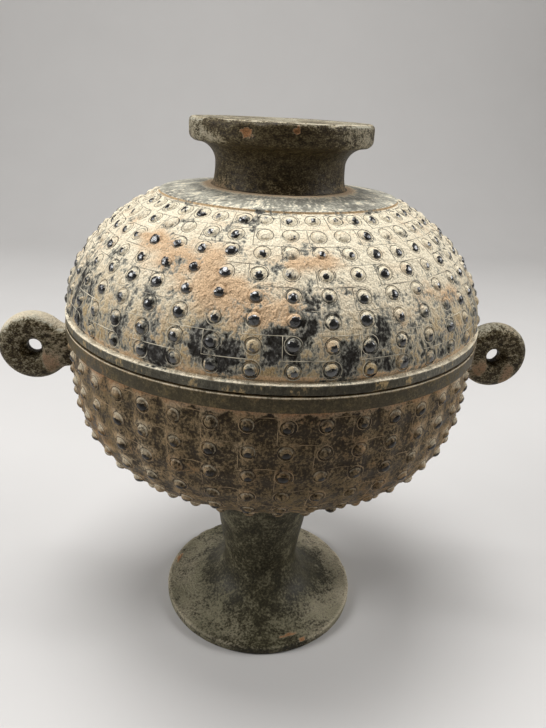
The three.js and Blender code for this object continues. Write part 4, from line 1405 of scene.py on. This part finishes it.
class STEMBOWL_OT_stage(bpy.types.Operator):
    """Lays the paper, hangs the lights and sets the camera"""
    bl_idname = "stem_bowl.stage"
    bl_label = "Stage"

    def lay_paper(self, colours):
        """A sheet of paper that lies flat, then sweeps up behind along a quarter circle. Matt paper is even
        and pale, with the faint clouding of its fibres."""
        paper, tree, shader, place = new_material("matt white paper sheet")
        cloud = add_node(tree, "ShaderNodeTexNoise",
                         {"Vector": place, "Scale": 1 / PAPER_CLOUD, "Detail": 3}).outputs["Fac"]
        shaded = [channel * PAPER_SHADE for channel in colours.floor]
        tint = add_node(tree, "ShaderNodeMix", {0: cloud, 6: (*shaded, 1), 7: (*colours.floor, 1)},
                        data_type="RGBA")
        tree.links.new(tint.outputs[2], shader.inputs["Base Color"])
        shader.inputs["Roughness"].default_value = PAPER_ROUGH
        bend = np.linspace(0, QUARTER, 24)
        depth = np.concatenate([[PAPER_FRONT], PAPER_BACK + PAPER_SWEEP * np.sin(bend),
                                [PAPER_BACK + PAPER_SWEEP]])
        height = np.concatenate([[0], PAPER_SWEEP * (1 - np.cos(bend)), [PAPER_TOP]]) - PAPER_GAP
        across, index = np.meshgrid([-PAPER_SIDE, PAPER_SIDE], np.arange(len(depth)), indexing="ij")
        points = np.stack([across, depth[index], height[index]], axis=-1).reshape(-1, 3)
        strip = np.arange(len(depth) - 1)
        faces = np.stack([strip, strip + len(depth), strip + len(depth) + 1, strip + 1], axis=1)
        new_piece("paper_sheet", points, [faces], {}, paper)

    def execute(self, context):
        scene = context.scene
        stage = scene.stem_bowl_stage
        self.lay_paper(scene.stem_bowl_colours)
        for name, spot, size, power in LIGHTS:
            lamp = bpy.data.lights.new(name, "AREA")
            lamp.size = size
            lamp.energy = power
            light = bpy.data.objects.new(name, lamp)
            light.location = spot
            light.rotation_euler = (LIT_POINT - Vector(spot)).to_track_quat("-Z", "Y").to_euler()
            scene.collection.objects.link(light)
        world = bpy.data.worlds.new("studio")
        world.use_nodes = True
        glow = world.node_tree.nodes["Background"].inputs
        glow["Color"].default_value = GLOW_COLOUR
        glow["Strength"].default_value = GLOW_STRENGTH
        scene.world = world
        camera = bpy.data.cameras.new("camera")
        camera.sensor_fit = "VERTICAL"
        camera.sensor_height = FRAME_HEIGHT
        camera.lens = stage.lens
        eye = bpy.data.objects.new("camera", camera)
        eye.matrix_world = (Matrix.Translation(stage.place) @ Matrix.Rotation(-stage.heading, 4, "Z")
                            @ Matrix.Rotation(QUARTER - stage.pitch, 4, "X")
                            @ Matrix.Rotation(stage.roll, 4, "Z"))
        scene.collection.objects.link(eye)
        scene.camera = eye
        scene.view_settings.view_transform = "Standard"
        return {"FINISHED"}


class STEMBOWL_PT_panel(bpy.types.Panel):
    """Lists the sizes, the colours and the making of each piece"""
    bl_idname = "STEMBOWL_PT_panel"
    bl_label = "Stem bowl"
    bl_space_type = "VIEW_3D"
    bl_region_type = "UI"
    bl_category = "Stem bowl"

    def draw(self, context):
        for operator in OPERATORS:
            self.layout.operator(operator.bl_idname)
        for name, group in GROUPS.items():
            box = self.layout.box()
            for field in group.__annotations__:
                box.prop(getattr(context.scene, name), field)


GROUPS = {
    "stem_bowl_foot": FootSizes,
    "stem_bowl_bowl": BowlSizes,
    "stem_bowl_ring": RingSizes,
    "stem_bowl_lid": LidSizes,
    "stem_bowl_knob": KnobSizes,
    "stem_bowl_carving": CarvingSizes,
    "stem_bowl_colours": StoneColours,
    "stem_bowl_stage": StageSettings,
}
OPERATORS = (STEMBOWL_OT_foot, STEMBOWL_OT_bowl, STEMBOWL_OT_ring_handles, STEMBOWL_OT_lid,
             STEMBOWL_OT_knob, STEMBOWL_OT_stage)


def register():
    """Makes the sizes, the operators and the panel known to Blender."""
    for group in GROUPS.values():
        bpy.utils.register_class(group)
    for name, group in GROUPS.items():
        setattr(bpy.types.Scene, name, PointerProperty(type=group))
    for operator in OPERATORS:
        bpy.utils.register_class(operator)
    bpy.utils.register_class(STEMBOWL_PT_panel)


def unregister():
    """Takes away what register added."""
    bpy.utils.unregister_class(STEMBOWL_PT_panel)
    for operator in reversed(OPERATORS):
        bpy.utils.unregister_class(operator)
    for name, group in reversed(GROUPS.items()):
        delattr(bpy.types.Scene, name)
        bpy.utils.unregister_class(group)


def main():
    register()
    bpy.ops.stem_bowl.foot()
    bpy.ops.stem_bowl.bowl()
    bpy.ops.stem_bowl.ring_handles()
    bpy.ops.stem_bowl.lid()
    bpy.ops.stem_bowl.knob()
    bpy.ops.stem_bowl.stage()


if __name__ == "__main__":
    main()
